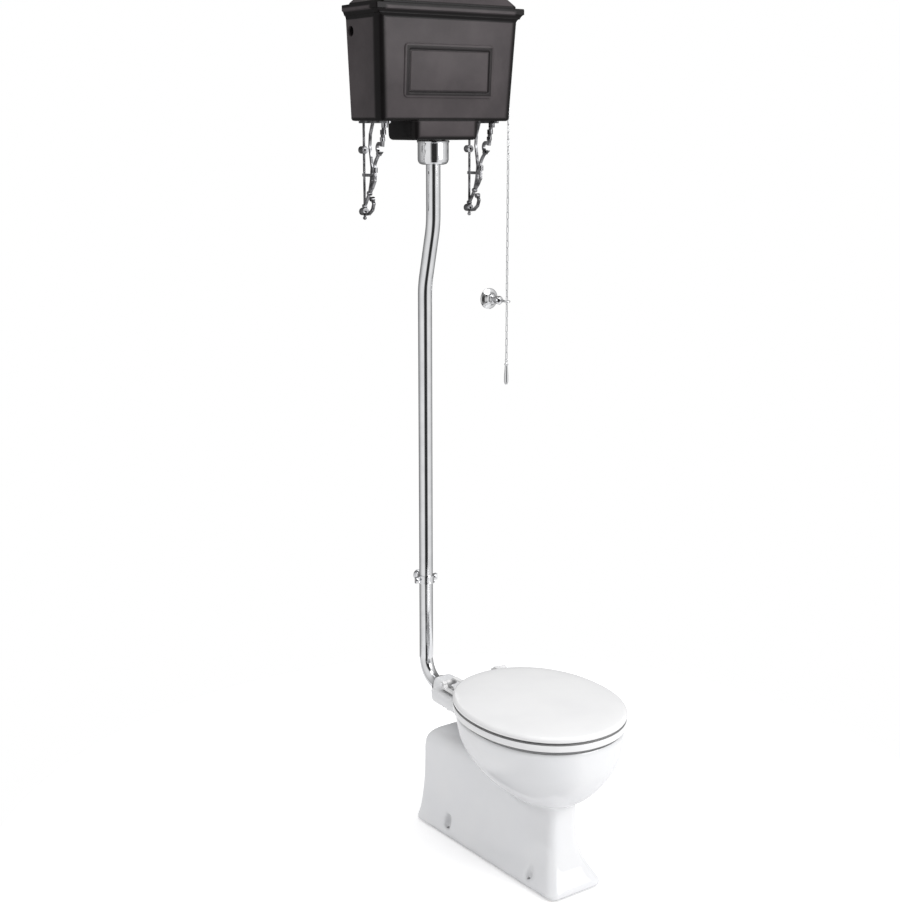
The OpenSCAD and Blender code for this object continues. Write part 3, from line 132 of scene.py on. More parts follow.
# %% The gap's direction, and how far another direction turns towards it: 1 is straight at it
# The gap is darkest within 13 degrees of its middle, and has faded out at 34.
GAP_BESIDE_CAMERA = 9.0
GAP_TURN = math.radians(CAMERA_TURN + GAP_BESIDE_CAMERA)
GAP_DIRECTION = (math.sin(GAP_TURN), -math.cos(GAP_TURN), 0.0)
GAP_EDGE, GAP_MIDDLE = math.cos(math.radians(34)), math.cos(math.radians(13))


def toward_gap(tree, direction):
    unit = node_of(tree, "ShaderNodeVectorMath", operation="NORMALIZE")
    toward = node_of(tree, "ShaderNodeVectorMath", operation="DOT_PRODUCT")
    toward.inputs[1].default_value = GAP_DIRECTION
    tree.links.new(direction, unit.inputs[0])
    join(tree, unit, "Vector", toward, 0)
    return toward.outputs["Value"]


# %% The surround: white to the camera, a little less to the object, and with the gap in chrome
SURROUND_LIGHT = 0.69
GAP_LIGHT = 0.03
WALL_SIDE, ROOM_SIDE = -1.0, 0.45
WALL_LIGHT, ROOM_LIGHT = 0.20, 0.90
world = bpy.data.worlds.new("studio_surround")
bpy.context.scene.world = world
world.use_nodes = True
sky = world.node_tree
sky.nodes.clear()
level = node_of(sky, "ShaderNodeVectorMath", operation="MULTIPLY")
level.inputs[1].default_value = (1.0, 1.0, 0.0)
join(sky, node_of(sky, "ShaderNodeTexCoord"), "Generated", level, 0)
toward = toward_gap(sky, level.outputs["Vector"])
gap = mapped(sky, toward, GAP_EDGE, GAP_MIDDLE, 1.0, GAP_LIGHT)
sides = mapped(sky, toward, WALL_SIDE, ROOM_SIDE, WALL_LIGHT, ROOM_LIGHT)
reflected = worked(sky, "MULTIPLY", gap, sides)
rays = node_of(sky, "ShaderNodeLightPath")
lighting = mixed(sky, rays.outputs["Is Glossy Ray"], SURROUND_LIGHT, reflected)
strength = mixed(sky, rays.outputs["Is Camera Ray"], lighting, 1.0)
surround = node_of(sky, "ShaderNodeBackground", Color=WHITE)
feed(sky, surround.inputs["Strength"], strength)
join(sky, surround, "Background", node_of(sky, "ShaderNodeOutputWorld"), "Surface")
print("surround:", SURROUND_LIGHT, "gap turned", round(math.degrees(GAP_TURN), 1), "degrees")

# %% The floor, wide enough for the shadow
FLOOR_RADIUS = 1.25
floor_shape = bmesh.new()
bmesh.ops.create_circle(floor_shape, cap_ends=True, segments=96, radius=FLOOR_RADIUS)
bmesh.ops.translate(floor_shape, verts=floor_shape.verts, vec=(0.0, -0.1, -0.0005))
floor_mesh = bpy.data.meshes.new("studio_floor")
floor_shape.to_mesh(floor_mesh)
floor_shape.free()
floor = bpy.data.objects.new("studio_floor", floor_mesh)
bpy.context.scene.collection.objects.link(floor)
print("floor:", 2 * FLOOR_RADIUS, "m across")

# %% Its paper: matt and pale, lifted a little towards white, with the gap's strip for chrome
PIPE_FOOT = (0.0, 0.1, 0.0)
GLOW, GLOW_TO_CAMERA = 0.12, 0.33
paper = bpy.data.materials.new("white_paper")
paper.use_nodes = True
tree = paper.node_tree
tree.nodes.clear()
paths = node_of(tree, "ShaderNodeLightPath")
matt = node_of(tree, "ShaderNodeBsdfDiffuse", Color=(0.86, 0.86, 0.87, 1.0))
lift = node_of(tree, "ShaderNodeEmission", Color=WHITE)
feed(tree, lift.inputs["Strength"],
     worked(tree, "MULTIPLY_ADD", paths.outputs["Is Camera Ray"], GLOW_TO_CAMERA, GLOW))
lifted = node_of(tree, "ShaderNodeAddShader")
join(tree, matt, "BSDF", lifted, 0)
join(tree, lift, "Emission", lifted, 1)
from_pipe = node_of(tree, "ShaderNodeVectorMath", operation="SUBTRACT")
from_pipe.inputs[1].default_value = PIPE_FOOT
join(tree, node_of(tree, "ShaderNodeTexCoord"), "Object", from_pipe, 0)
strip = mapped(tree, toward_gap(tree, from_pipe.outputs["Vector"]), GAP_EDGE, GAP_MIDDLE)
dark = node_of(tree, "ShaderNodeBsdfDiffuse", Color=(0.03, 0.03, 0.03, 1.0))
laid = node_of(tree, "ShaderNodeMixShader")
feed(tree, laid.inputs[0], worked(tree, "MULTIPLY", strip, paths.outputs["Is Glossy Ray"]))
join(tree, lifted, "Shader", laid, 1)
join(tree, dark, "BSDF", laid, 2)
join(tree, laid, "Shader", node_of(tree, "ShaderNodeOutputMaterial"), "Surface")
floor_mesh.materials.append(paper)
print("paper:", len(tree.nodes), "nodes")


# %% The lamps
def soft_lamp(name, place, target, size, watts):
    light = bpy.data.lights.new(name, "AREA")
    light.shape = "SQUARE"
    light.size = size
    light.energy = watts
    lamp = bpy.data.objects.new(name, light)
    lamp.location = place
    lamp.rotation_euler = (Vector(target) - Vector(place)).to_track_quat("-Z", "Y").to_euler()
    bpy.context.scene.collection.objects.link(lamp)
    print(name, "at", place, "with", watts, "W")


soft_lamp("front_lamp", (1.5, -3.4, 2.6), target=(0.0, -0.1, 0.8), size=2.2, watts=78)
soft_lamp("top_lamp", (-0.2, -0.6, 3.9), target=(0.0, -0.1, 0.5), size=2.0, watts=22)

# %% [markdown]
# ## Finishes
# Each finish is a Principled shader whose colour, roughness and bump come from noise on Object
# coordinates. The CAD nodes share those coordinates, so the grain has its real size everywhere.
# Painted textures would need every surface unwrapped, and they blur close up.


# %% Helpers that start a finish, and give it grain, tint, sheen and relief
def new_finish(name, colour, roughness, metallic=0.0, gloss=0.5):
    made = bpy.data.materials.new(name)
    made.use_nodes = True
    shader = made.node_tree.nodes["Principled BSDF"]
    shader.inputs["Base Color"].default_value = (*colour, 1.0)
    shader.inputs["Roughness"].default_value = roughness
    shader.inputs["Metallic"].default_value = metallic
    shader.inputs["Specular IOR Level"].default_value = gloss
    print("finish:", name)
    return made, made.node_tree, shader


def grain(tree, scale, detail=2.0, stretch=(1.0, 1.0, 1.0)):
    where = node_of(tree, "ShaderNodeTexCoord")
    turn = node_of(tree, "ShaderNodeMapping")
    turn.inputs["Scale"].default_value = stretch
    noise = node_of(tree, "ShaderNodeTexNoise", Scale=scale, Detail=detail, Roughness=0.55)
    join(tree, where, "Object", turn, "Vector")
    join(tree, turn, "Vector", noise, "Vector")
    return noise


def tint(tree, shader, noise, dark, light, low=0.35, high=0.65):
    ramp = node_of(tree, "ShaderNodeValToRGB")
    for stop, position, colour in zip(ramp.color_ramp.elements, (low, high), (dark, light)):
        stop.position = position
        stop.color = (*colour, 1.0)
    join(tree, noise, "Fac", ramp, "Fac")
    join(tree, ramp, "Color", shader, "Base Color")


def vary_roughness(tree, shader, noise, low, high):
    spread = mapped(tree, noise.outputs["Fac"], 0.3, 0.7, low, high, "LINEAR")
    feed(tree, shader.inputs["Roughness"], spread)


def relief(tree, shader, noise, strength, distance, below=None):
    bump = node_of(tree, "ShaderNodeBump", Strength=strength, Distance=distance)
    join(tree, noise, "Fac", bump, "Height")
    if below:
        join(tree, below, "Normal", bump, "Normal")
    join(tree, bump, "Normal", shader, "Normal")
    return bump


# %% [markdown]
# ## Painted shade that belongs to a place
# Three kinds of painted shade darken a surface by where it is: thin dark lines at the mouths of the
# narrow gaps round the seat, bands of painted shade and dark reflection round the cistern's
# corners, edges and mouldings, and white that is darker for light that has already bounced, so that
# the gaps between white surfaces stay dark.
# Occlusion nodes could find such places, but an export bakes the closed seat, and it would keep
# that shade when the seat is up. So the gaps and corners are found from the set-out values.


# %% Helpers that find a place, in millimetres
MM = 0.001


def millimetres(tree):
    enlarged = node_of(tree, "ShaderNodeVectorMath", operation="SCALE", Scale=1.0 / MM)
    apart = node_of(tree, "ShaderNodeSeparateXYZ")
    join(tree, node_of(tree, "ShaderNodeTexCoord"), "Object", enlarged, 0)
    join(tree, enlarged, "Vector", apart, "Vector")
    return apart.outputs


def chained(tree, operation, value, *others):
    for other in others:
        value = worked(tree, operation, value, other)
    return value


def fading(tree, value, full, none):
    if full < none:
        return mapped(tree, value, full, none, 1.0, 0.0)
    return mapped(tree, value, none, full)


# %% A helper that paints shade on a finish there, on top of what its colour is already
# A Mix node has a socket of each name for every kind of value. These are the ones for colours.
MIX_FACTOR, MIX_COLOUR, MIX_SHADE, MIXED_COLOUR = 0, 6, 7, 2


def darkened(tree, shader, amount, shade):
    blend = node_of(tree, "ShaderNodeMix", data_type="RGBA")
    blend.inputs[MIX_SHADE].default_value = (*shade, 1.0)
    colour = shader.inputs["Base Color"]
    tree.links.new(colour.links[0].from_socket, blend.inputs[MIX_COLOUR])
    tree.links.new(amount, blend.inputs[MIX_FACTOR])
    tree.links.new(blend.outputs[MIXED_COLOUR], colour)


# %% Painted shade: white next to white passes light on for ever, so light that has bounced once finds the colour darker, and the gaps stay dark
def painted_bounce_shade(tree, shader, shade):
    rays = node_of(tree, "ShaderNodeLightPath")
    darkened(tree, shader, rays.outputs["Is Diffuse Ray"], shade)


# %% How near a place is to an oval's edge: 1 on the edge, less towards the middle
def near_oval(tree, x, y, wide, back, front, square):
    off_middle = worked(tree, "SUBTRACT", y, (back + front) / 2)
    across = worked(tree, "DIVIDE", worked(tree, "ABSOLUTE", x), wide / 2)
    along = worked(tree, "DIVIDE", worked(tree, "ABSOLUTE", off_middle), (back - front) / 2)
    return worked(tree, "ADD", worked(tree, "POWER", across, square),
                  worked(tree, "POWER", along, square))


# %% [markdown]
# ## China
# The pan is white clay under a clear glaze. The glaze flows before it sets, so its colour is nearly
# even and its surface has a faint, wide ripple. A bare white shader looks like plastic. Here slow
# noise moves the colour, the roughness and the bump by very little.

# %% White glazed china, with the faint ripple of a poured glaze
china, tree, shader = new_finish("glazed_china", (0.86, 0.865, 0.88), 0.07)
tint(tree, shader, grain(tree, 6.0, 3.0), (0.845, 0.852, 0.87), (0.872, 0.875, 0.885))
vary_roughness(tree, shader, grain(tree, 22.0, 3.0), 0.05, 0.11)
ripple = relief(tree, shader, grain(tree, 18.0, 1.0), 0.10, 0.002)
relief(tree, shader, grain(tree, 420.0, 1.0), 0.05, 0.0003, ripple)
# Painted shade: light that has bounced finds the china darker, which darkens its gaps and hollows
painted_bounce_shade(tree, shader, (0.42, 0.42, 0.43))

# %% Painted shadow on the china: a thin dark line along the top of the rim, in front of the hinge, at the gap under the seat
RIM_HIGH, RIM_WIDE = 392.0, 358.0
RIM_BACK, RIM_FRONT = -76.0, -510.0
RIM_SQUARE = 2.15
x, y, z = millimetres(tree)
edge = near_oval(tree, x, y, RIM_WIDE, RIM_BACK, RIM_FRONT, RIM_SQUARE)
painted_gap_shade = chained(tree, "MULTIPLY", fading(tree, edge, 0.950, 0.930), fading(tree, y, -150, -140),
               fading(tree, z, RIM_HIGH - 3.2, RIM_HIGH - 4.8), 0.85)
darkened(tree, shader, painted_gap_shade, (0.08, 0.08, 0.08))

# %% [markdown]
# ## Resin
# The seat and the lid are pressed from white resin, whiter than china and with a softer shine. The
# same kind of shader does for it, with more roughness and a finer bump. The gaps over and under
# the seat are too narrow for light to fill, so they get painted shade, and thin painted shadow
# lines mark their edges.

# %% The seat and lid: pressed white resin, a little whiter and softer than the china
resin, tree, shader = new_finish("white_resin", (0.9, 0.9, 0.905), 0.2)
tint(tree, shader, grain(tree, 9.0, 2.0), (0.885, 0.885, 0.892), (0.91, 0.91, 0.915))
vary_roughness(tree, shader, grain(tree, 40.0, 3.0), 0.16, 0.26)
relief(tree, shader, grain(tree, 700.0, 2.0), 0.05, 0.0003)
# Painted shade: light that has bounced finds the resin nearly black, which darkens the gaps over
# and under the seat
painted_bounce_shade(tree, shader, (0.05, 0.05, 0.052))

# %% Painted shadow on the resin: thin dark lines along the seat's lower edge and on both sides of the lid's gap
SEAT_LOW = RIM_HIGH + 5.0
SEAT_HIGH = SEAT_LOW + 17.0
LID_LOW = SEAT_HIGH + 4.6
SEAT_WIDE = 373.0
SEAT_BACK, SEAT_FRONT = -67.0, -515.0
SEAT_SQUARE = 2.1
x, y, z = millimetres(tree)
edge = near_oval(tree, x, y, SEAT_WIDE, SEAT_BACK, SEAT_FRONT, SEAT_SQUARE)
lid_gap = worked(tree, "MULTIPLY", fading(tree, z, SEAT_HIGH - 1.0, SEAT_HIGH - 1.8),
                 fading(tree, z, LID_LOW + 0.4, LID_LOW + 1.2))
gap_shade_heights = worked(tree, "MAXIMUM", lid_gap, fading(tree, z, SEAT_LOW + 0.5, SEAT_LOW + 1.5))
painted_gap_shade = chained(tree, "MULTIPLY", fading(tree, edge, 0.970, 0.958), gap_shade_heights,
               fading(tree, y, -85, -75), 0.8)
darkened(tree, shader, painted_gap_shade, (0.10, 0.10, 0.10))

# %% [markdown]
# ## Chrome
# Pipe, nut, clip and chain are brass under polished chrome, so they are full metal with little
# roughness. A perfect mirror looks unreal, and broad noise bends this one slightly. Plating over
# the rough skin of a casting stays grey and patchy, so the brackets get a darker, duller mix.

# %% Chrome on brass: a hard mirror, with the slight waves of hand polishing and fine wipe marks
chrome, tree, shader = new_finish("polished_chrome", (0.78, 0.785, 0.8), 0.07, metallic=1.0)
tint(tree, shader, grain(tree, 30.0, 3.0), (0.74, 0.745, 0.76), (0.82, 0.825, 0.835))
vary_roughness(tree, shader, grain(tree, 160.0, 4.0, (1.0, 1.0, 0.2)), 0.05, 0.13)
relief(tree, shader, grain(tree, 26.0, 1.0), 0.12, 0.0012)

# %% Plated castings: the same chrome over a cast skin that polishing doesn't reach everywhere
cast_chrome, tree, shader = new_finish("cast_chrome", (0.3, 0.3, 0.31), 0.26, metallic=1.0)
tint(tree, shader, grain(tree, 55.0, 4.0), (0.07, 0.07, 0.073), (0.34, 0.34, 0.352), 0.40, 0.62)
vary_roughness(tree, shader, grain(tree, 120.0, 4.0), 0.16, 0.34)
relief(tree, shader, grain(tree, 240.0, 3.0), 0.22, 0.0008)

# %% [markdown]
# ## Enamelled iron
# The cistern's enamel is dark, and its corners, edges and mouldings get painted shade and painted
# dark reflections that are nearly black. Painted vertices would need a dense mesh for such soft
# edges. Sums on the coordinates find the same places from the casting's own set-out values.

# %% Enamelled cast iron: a warm charcoal with a thin gloss, over the grain of the sand mould
iron, tree, shader = new_finish("enamelled_iron", (0.062, 0.0535, 0.0565), 0.38, gloss=0.08)
tint(tree, shader, grain(tree, 9.0, 4.0), (0.052, 0.045, 0.0475), (0.072, 0.062, 0.065))
vary_roughness(tree, shader, grain(tree, 60.0, 4.0), 0.32, 0.46)
shader.inputs["Coat Weight"].default_value = 0.10
shader.inputs["Coat Roughness"].default_value = 0.12
shader.inputs["Coat IOR"].default_value = 1.5
swell = relief(tree, shader, grain(tree, 14.0, 2.0), 0.22, 0.003)
relief(tree, shader, grain(tree, 330.0, 3.0), 0.16, 0.0006, swell)

# %% Set-out values of the cistern, in millimetres: box, sump, and the raised frame on the front
TANK_LOW, BOX_HIGH, TANK_HIGH = 1760.0, 1990.0, 2020.0
BOX_TALL = BOX_HIGH - TANK_LOW
BOX_WIDE, BOX_TAPER = 400.0, 22.0
FRONT_HIGH, FRONT_TAPER = 72.0, 13.0
SUMP_LOW, SUMP_WIDE, SUMP_FRONT = 1716.0, 190.0, 86.0
PLATE_MIDDLE, PLATE_WIDE, PLATE_TALL = 1873.0, 252.0, 122.0

# %% How far a place is inside the box's side and front, which both lean
x, y, z = millimetres(tree)
out_wide = worked(tree, "ABSOLUTE", x)
risen = worked(tree, "DIVIDE", worked(tree, "SUBTRACT", z, TANK_LOW), BOX_TALL)
lean = worked(tree, "MINIMUM", risen, 1.0)
half_wide = worked(tree, "MULTIPLY_ADD", lean, BOX_TAPER / 2, (BOX_WIDE - BOX_TAPER) / 2)
front = worked(tree, "MULTIPLY_ADD", lean, -FRONT_TAPER, FRONT_HIGH + FRONT_TAPER)
from_side = worked(tree, "SUBTRACT", half_wide, out_wide)
from_front = worked(tree, "SUBTRACT", y, front)

# %% Painted shade and dark reflection on the box: its corners and lower edge, the cove and the rim of the moulding
box_only = fading(tree, z, TANK_LOW + 0.5, TANK_LOW - 1.5)
corner = fading(tree, worked(tree, "MAXIMUM", from_side, from_front), 14, 26)
corner = worked(tree, "MULTIPLY", corner, box_only)
lower_edge = worked(tree, "MULTIPLY", fading(tree, z, TANK_LOW + 5, TANK_LOW + 10), box_only)
cove = worked(tree, "MULTIPLY", fading(tree, z, BOX_HIGH - 1, BOX_HIGH - 4),
              fading(tree, z, BOX_HIGH + 13, BOX_HIGH + 17))
rim_band = worked(tree, "MULTIPLY", fading(tree, z, TANK_HIGH - 5, TANK_HIGH - 9),
                  fading(tree, z, TANK_HIGH + 4, TANK_HIGH + 7))

# %% Painted shade and dark reflection on the sump: its corners, sides and foot
from_sump_side = worked(tree, "SUBTRACT", SUMP_WIDE / 2, out_wide)
from_sump_front = worked(tree, "SUBTRACT", y, SUMP_FRONT)
sump_corner = fading(tree, worked(tree, "MAXIMUM", from_sump_side, from_sump_front), 12, 22)
sump_side = fading(tree, from_sump_side, 1.5, 6)
sump_foot = fading(tree, z, SUMP_LOW + 5, SUMP_LOW + 12)
sump = worked(tree, "MULTIPLY", chained(tree, "MAXIMUM", sump_corner, sump_side, sump_foot),
              fading(tree, z, TANK_LOW - 1.5, TANK_LOW + 0.5))

# %% Painted shade in the channel round the bare panel, and then all the painted shade and dark reflection together
from_middle = worked(tree, "ABSOLUTE", worked(tree, "SUBTRACT", z, PLATE_MIDDLE))
inset = worked(tree, "MINIMUM", worked(tree, "SUBTRACT", PLATE_WIDE / 2, out_wide),
               worked(tree, "SUBTRACT", PLATE_TALL / 2, from_middle))
channel = chained(tree, "MULTIPLY", fading(tree, inset, 6.5, 4.5),
                  fading(tree, inset, 15.0, 17.2), fading(tree, from_front, 1, 3), 0.8)
painted_enamel_shade = chained(tree, "MAXIMUM", corner, sump, lower_edge, cove, rim_band, channel)
darkened(tree, shader, worked(tree, "MULTIPLY", painted_enamel_shade, 0.92), (0.0015, 0.0012, 0.0013))
print("enamel:", len(tree.nodes), "nodes")

# %% [markdown]
# ## Inside the cistern
# The siphon, the valve and the float show only when the lid is off. They are brass, nylon, rubber
# and a hollow plastic ball. Flat colours would do so deep in shade, but the lid does lift off, so
# each gets the marks that water and age leave on it.

# %% Bare brass inside the cistern: dull, with darker patches where water has stood
brass, tree, shader = new_finish("water_worn_brass", (0.62, 0.45, 0.2), 0.3, metallic=1.0)
tint(tree, shader, grain(tree, 55.0, 5.0), (0.36, 0.24, 0.10), (0.70, 0.52, 0.25), 0.30, 0.62)
vary_roughness(tree, shader, grain(tree, 90.0, 4.0), 0.24, 0.48)
relief(tree, shader, grain(tree, 500.0, 3.0), 0.10, 0.0003)

# %% Moulded nylon, with the fine spark grain of its mould
nylon, tree, shader = new_finish("moulded_nylon", (0.76, 0.76, 0.72), 0.42)
tint(tree, shader, grain(tree, 20.0, 3.0), (0.71, 0.71, 0.66), (0.79, 0.79, 0.75))
vary_roughness(tree, shader, grain(tree, 80.0, 3.0), 0.36, 0.5)
relief(tree, shader, grain(tree, 1400.0, 2.0), 0.2, 0.0002)

# %% Black rubber, with the pale bloom that it gets with age
rubber, tree, shader = new_finish("black_rubber", (0.03, 0.03, 0.032), 0.62)
tint(tree, shader, grain(tree, 70.0, 5.0), (0.022, 0.022, 0.024), (0.06, 0.06, 0.062), 0.4, 0.75)
vary_roughness(tree, shader, grain(tree, 120.0, 3.0), 0.52, 0.74)
relief(tree, shader, grain(tree, 900.0, 3.0), 0.25, 0.0003)

# %% The float's plastic, a dull orange that water has faded in patches
float_shell, tree, shader = new_finish("float_plastic", (0.75, 0.27, 0.05), 0.36)
tint(tree, shader, grain(tree, 24.0, 4.0), (0.66, 0.21, 0.03), (0.80, 0.33, 0.08))
vary_roughness(tree, shader, grain(tree, 70.0, 3.0), 0.3, 0.46)
relief(tree, shader, grain(tree, 600.0, 2.0), 0.1, 0.0003)

# %% [markdown]
# ## Finishes on the CAD nodes
# The record names a finish for every node, so one loop sets them all. Only the brackets differ:
# the record has them as chrome, and here they get the cast kind.

# %% Which node has which finish
FINISHES = {
    "china": china, "seat_resin": resin, "chrome": chrome, "enamelled_iron": iron,
    "brass": brass, "nylon": nylon, "rubber": rubber, "float_plastic": float_shell,
}
finish_of = {part["node"]: part["material_slot"] for part in frame["record"]["subparts"]}
for name, piece in nodes.items():
    finish = cast_chrome if name.startswith("bracket") else FINISHES[finish_of[name]]
    for place in piece.material_slots:
        place.material = finish
print("finishes set on", len(finish_of), "nodes")

# %% [markdown]
# ## Helpers for the castings
# A pottery or foundry pattern is a row of outlines, one over another. So each casting here starts
# as one ring of points, which is extruded from outline to outline. The outlines' own numbers run
# on a smooth curve between the given rows, which takes away the CAD model's facets.


# %% Outlines, in millimetres
# An oval's row is its height, half width, back, front and squareness. A rounded box's row is its
# height, its width at the back and at the front, where its back and its front are, and the radius
# of its back corners and of its front corners.
def oval(row, points=120):
    height, half_wide, back, front, square = row
    power = 2.0 / square
    ring = []
    for step in range(points):
        turn = 2.0 * math.pi * step / points
        across, along = math.cos(turn), math.sin(turn)
        ring.append(Vector((
            half_wide * math.copysign(abs(across) ** power, across),
            (back + front) / 2 + (back - front) / 2 * math.copysign(abs(along) ** power, along),
            height)))
    return ring


def rounded(row, points=96):
    height, back_wide, front_wide, back, front, back_corner, front_corner = row
    share = points // 4
    ring = []
    for middle_x, middle_y, corner, start in (
            (back_wide / 2 - back_corner, back - back_corner, back_corner, 0),
            (-back_wide / 2 + back_corner, back - back_corner, back_corner, 90),
            (-front_wide / 2 + front_corner, front + front_corner, front_corner, 180),
            (front_wide / 2 - front_corner, front + front_corner, front_corner, 270)):
        for step in range(share):
            turn = math.radians(start + 90.0 * step / (share - 1))
            ring.append(Vector((middle_x + corner * math.cos(turn),
                                middle_y + corner * math.sin(turn), height)))
    return ring


# %% Rows between the given rows, on a Catmull-Rom curve
def between(rows, steps):
    made = []
    for number in range(len(rows) - 1):
        four = [rows[min(max(number + shift, 0), len(rows) - 1)] for shift in (-1, 0, 1, 2)]
        for step in range(steps):
            t = step / steps
            made.append([
                0.5 * (2 * b + (c - a) * t + (2 * a - 5 * b + 4 * c - d) * t * t
                       + (3 * b - a - 3 * c + d) * t ** 3)
                for a, b, c, d in zip(*four)])
    made.append(list(rows[-1]))
    return made


# %% One ring extruded from outline to outline, and then closed with caps or into a loop
def stacked(outlines, loop=False):
    shape = bmesh.new()
    order = shape.verts.layers.int.new("order")
    verts = bmesh.ops.create_circle(shape, segments=len(outlines[0]), radius=1.0)["verts"]
    for number, vert in enumerate(verts):
        vert[order] = number
        vert.co = outlines[0][number] * MM
    start = edges = list(shape.edges)
    for outline in outlines[1:]:
        made = bmesh.ops.extrude_edge_only(shape, edges=edges)["geom"]
        verts = {item for item in made if isinstance(item, bmesh.types.BMVert)}
        for vert in verts:
            vert.co = outline[vert[order]] * MM
        edges = [item for item in made if isinstance(item, bmesh.types.BMEdge)
                 and item.verts[0] in verts and item.verts[1] in verts]
    if loop:
        bmesh.ops.bridge_loops(shape, edges=start + edges)
    else:
        bmesh.ops.holes_fill(shape, edges=start, sides=0)
        bmesh.ops.holes_fill(shape, edges=edges, sides=0)
    bmesh.ops.recalc_face_normals(shape, faces=shape.faces)
    return shape


# %% Plain solids for unions and cuts, in millimetres
def bar_between(start, end, radius, segments=48):
    start, end = Vector(start) * MM, Vector(end) * MM
    shape = bmesh.new()
    bmesh.ops.create_cone(shape, cap_ends=True, segments=segments, radius1=radius * MM,
                          radius2=radius * MM, depth=(end - start).length)
    turn = (end - start).to_track_quat("Z", "Y").to_matrix().to_4x4()
    bmesh.ops.transform(shape, verts=shape.verts,
                        matrix=Matrix.Translation((start + end) / 2) @ turn)
    return shape


def ball(place, radius):
    shape = bmesh.new()
    bmesh.ops.create_uvsphere(shape, u_segments=40, v_segments=24, radius=radius * MM)
    bmesh.ops.translate(shape, verts=shape.verts, vec=Vector(place) * MM)
    return shape


def block(low, high):
    shape = bmesh.new()
    bmesh.ops.create_cube(shape, size=1.0)
    low, high = Vector(low) * MM, Vector(high) * MM
    bmesh.ops.scale(shape, verts=shape.verts, vec=high - low)
    bmesh.ops.translate(shape, verts=shape.verts, vec=(low + high) / 2)
    return shape


def round_edges(shape, axis, corner):
    along = [edge for edge in shape.edges
             if abs(edge.verts[0].co[axis] - edge.verts[1].co[axis]) > 10 * MM]
    bmesh.ops.bevel(shape, geom=along, offset=corner * MM, offset_type="OFFSET", segments=8,
                    affect="EDGES", profile=0.5, material=-1)


# %% Shells gathered in one object
def gathered(name, shapes):
    whole = bpy.data.meshes.new(name)
    collected = bmesh.new()
    for shape in shapes:
        part = bpy.data.meshes.new("part")
        shape.to_mesh(part)
        shape.free()
        collected.from_mesh(part)
        bpy.data.meshes.remove(part)
    collected.to_mesh(whole)
    collected.free()
    thing = bpy.data.objects.new(name, whole)
    bpy.context.scene.collection.objects.link(thing)
    return thing


def boxy(name, rows):
    return gathered(name, [stacked([rounded(row) for row in rows])])


# %% Modifiers made final: one skin over all shells, a union or a cut
def made_final(thing):
    graph = bpy.context.evaluated_depsgraph_get()
    new_mesh = bpy.data.meshes.new_from_object(thing.evaluated_get(graph))
    old_mesh = thing.data
    thing.modifiers.clear()
    thing.data = new_mesh
    bpy.data.meshes.remove(old_mesh)


def fused(thing, voxel):
    skin = thing.modifiers.new("one_skin", "REMESH")
    skin.mode = "VOXEL"
    skin.voxel_size = voxel
    made_final(thing)


def combined(thing, other, operation, solver="EXACT"):
    step = thing.modifiers.new("step", "BOOLEAN")
    step.operation = operation
    step.solver = solver
    step.object = other
    made_final(thing)
    used = other.data
    bpy.data.objects.remove(other)
    bpy.data.meshes.remove(used)


# %% Smoothing, and the two kinds of shading
SHARP = math.radians(38.0)


def softened(thing, times, is_kept):
    shape = bmesh.new()
    shape.from_mesh(thing.data)
    chosen = [vert for vert in shape.verts if not is_kept(vert.co)]
    for _ in range(times):
        bmesh.ops.smooth_vert(shape, verts=chosen, factor=0.5, use_axis_x=True,
                              use_axis_y=True, use_axis_z=True)
    shape.to_mesh(thing.data)
    shape.free()


def shaded(thing):
    thing.data.shade_smooth()
    thing.data.set_sharp_from_angle(angle=SHARP)


def level_shaded(thing):
    shaded(thing)
    even = thing.modifiers.new("even", "WEIGHTED_NORMAL")
    even.keep_sharp = True
    even.weight = 60
    made_final(thing)


# %% A piece gets its finish and its body, and the CAD node that it replaces is hidden
def set_piece(thing, finish, body, node):
    thing.data.materials.clear()
    thing.data.materials.append(finish)
    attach(thing, body)
    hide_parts(node)
    box = thing.bound_box
    print(thing.name, "triangles:", sum(len(face.vertices) - 2 for face in thing.data.polygons),
          "from", [round(min(corner[axis] for corner in box), 3) for axis in range(3)],
          "to", [round(max(corner[axis] for corner in box), 3) for axis in range(3)])


# %% [markdown]
# ## The pan
# The pan is slip-cast china: a bowl, a foot, the horn for the flush pipe and two ears for the seat,
# all luted together and glazed, so no joint between them stays sharp. It could be one subdivision
# cage, but the bowl would then have to be threaded through the foot by hand. Here each form is its
# own row of outlines. One voxel skin goes over them all, and smoothing rounds the joints as the
# potter's sponge does.

# %% Set-out values of the pan, in millimetres
FOOT_WIDE, TOE_WIDE = 212.0, 158.0
FOOT_BACK, FOOT_FRONT = 86.0, -450.0
FOOT_WALL = 13.0
HUMP_HIGH = 256.0
HORN_HIGH, HORN_HALF = 331.0, 32.0
EAR_OUT, EAR_HALF = 87.5, 27.0
HINGE_OUT, HINGE_Y = 77.5, -30.0
SIDES = (-1, 1)
SCREW_PLACES = [(side * half, y) for y, half in ((-43.0, 86.502), (-353.0, 70.886))
                for side in SIDES]
VOXEL = 0.0043
BORE_VOXEL = 0.004
print("floor screws:", SCREW_PLACES)


# %% A row of the bowl, and a row of the foot, by how far each stays inside the largest outline
def bowl_row(height, side, back, front, square=RIM_SQUARE):
    return [height, RIM_WIDE / 2 - side, RIM_BACK - back, RIM_FRONT + front, square]


def foot_row(height, back, toe, narrow_back, narrow_toe, back_corner=18.0, toe_corner=24.0,
             inset=0.0):
    return [height, FOOT_WIDE - 2 * (narrow_back + inset), TOE_WIDE - 2 * (narrow_toe + inset),
            FOOT_BACK - back - inset, FOOT_FRONT + toe + inset,
            max(back_corner - inset, 6.0), max(toe_corner - inset, 6.0)]


def hollow_row(height, back, toe, narrow_back, narrow_toe):
    return foot_row(height, back, toe, narrow_back, narrow_toe, 22.0, inset=FOOT_WALL)


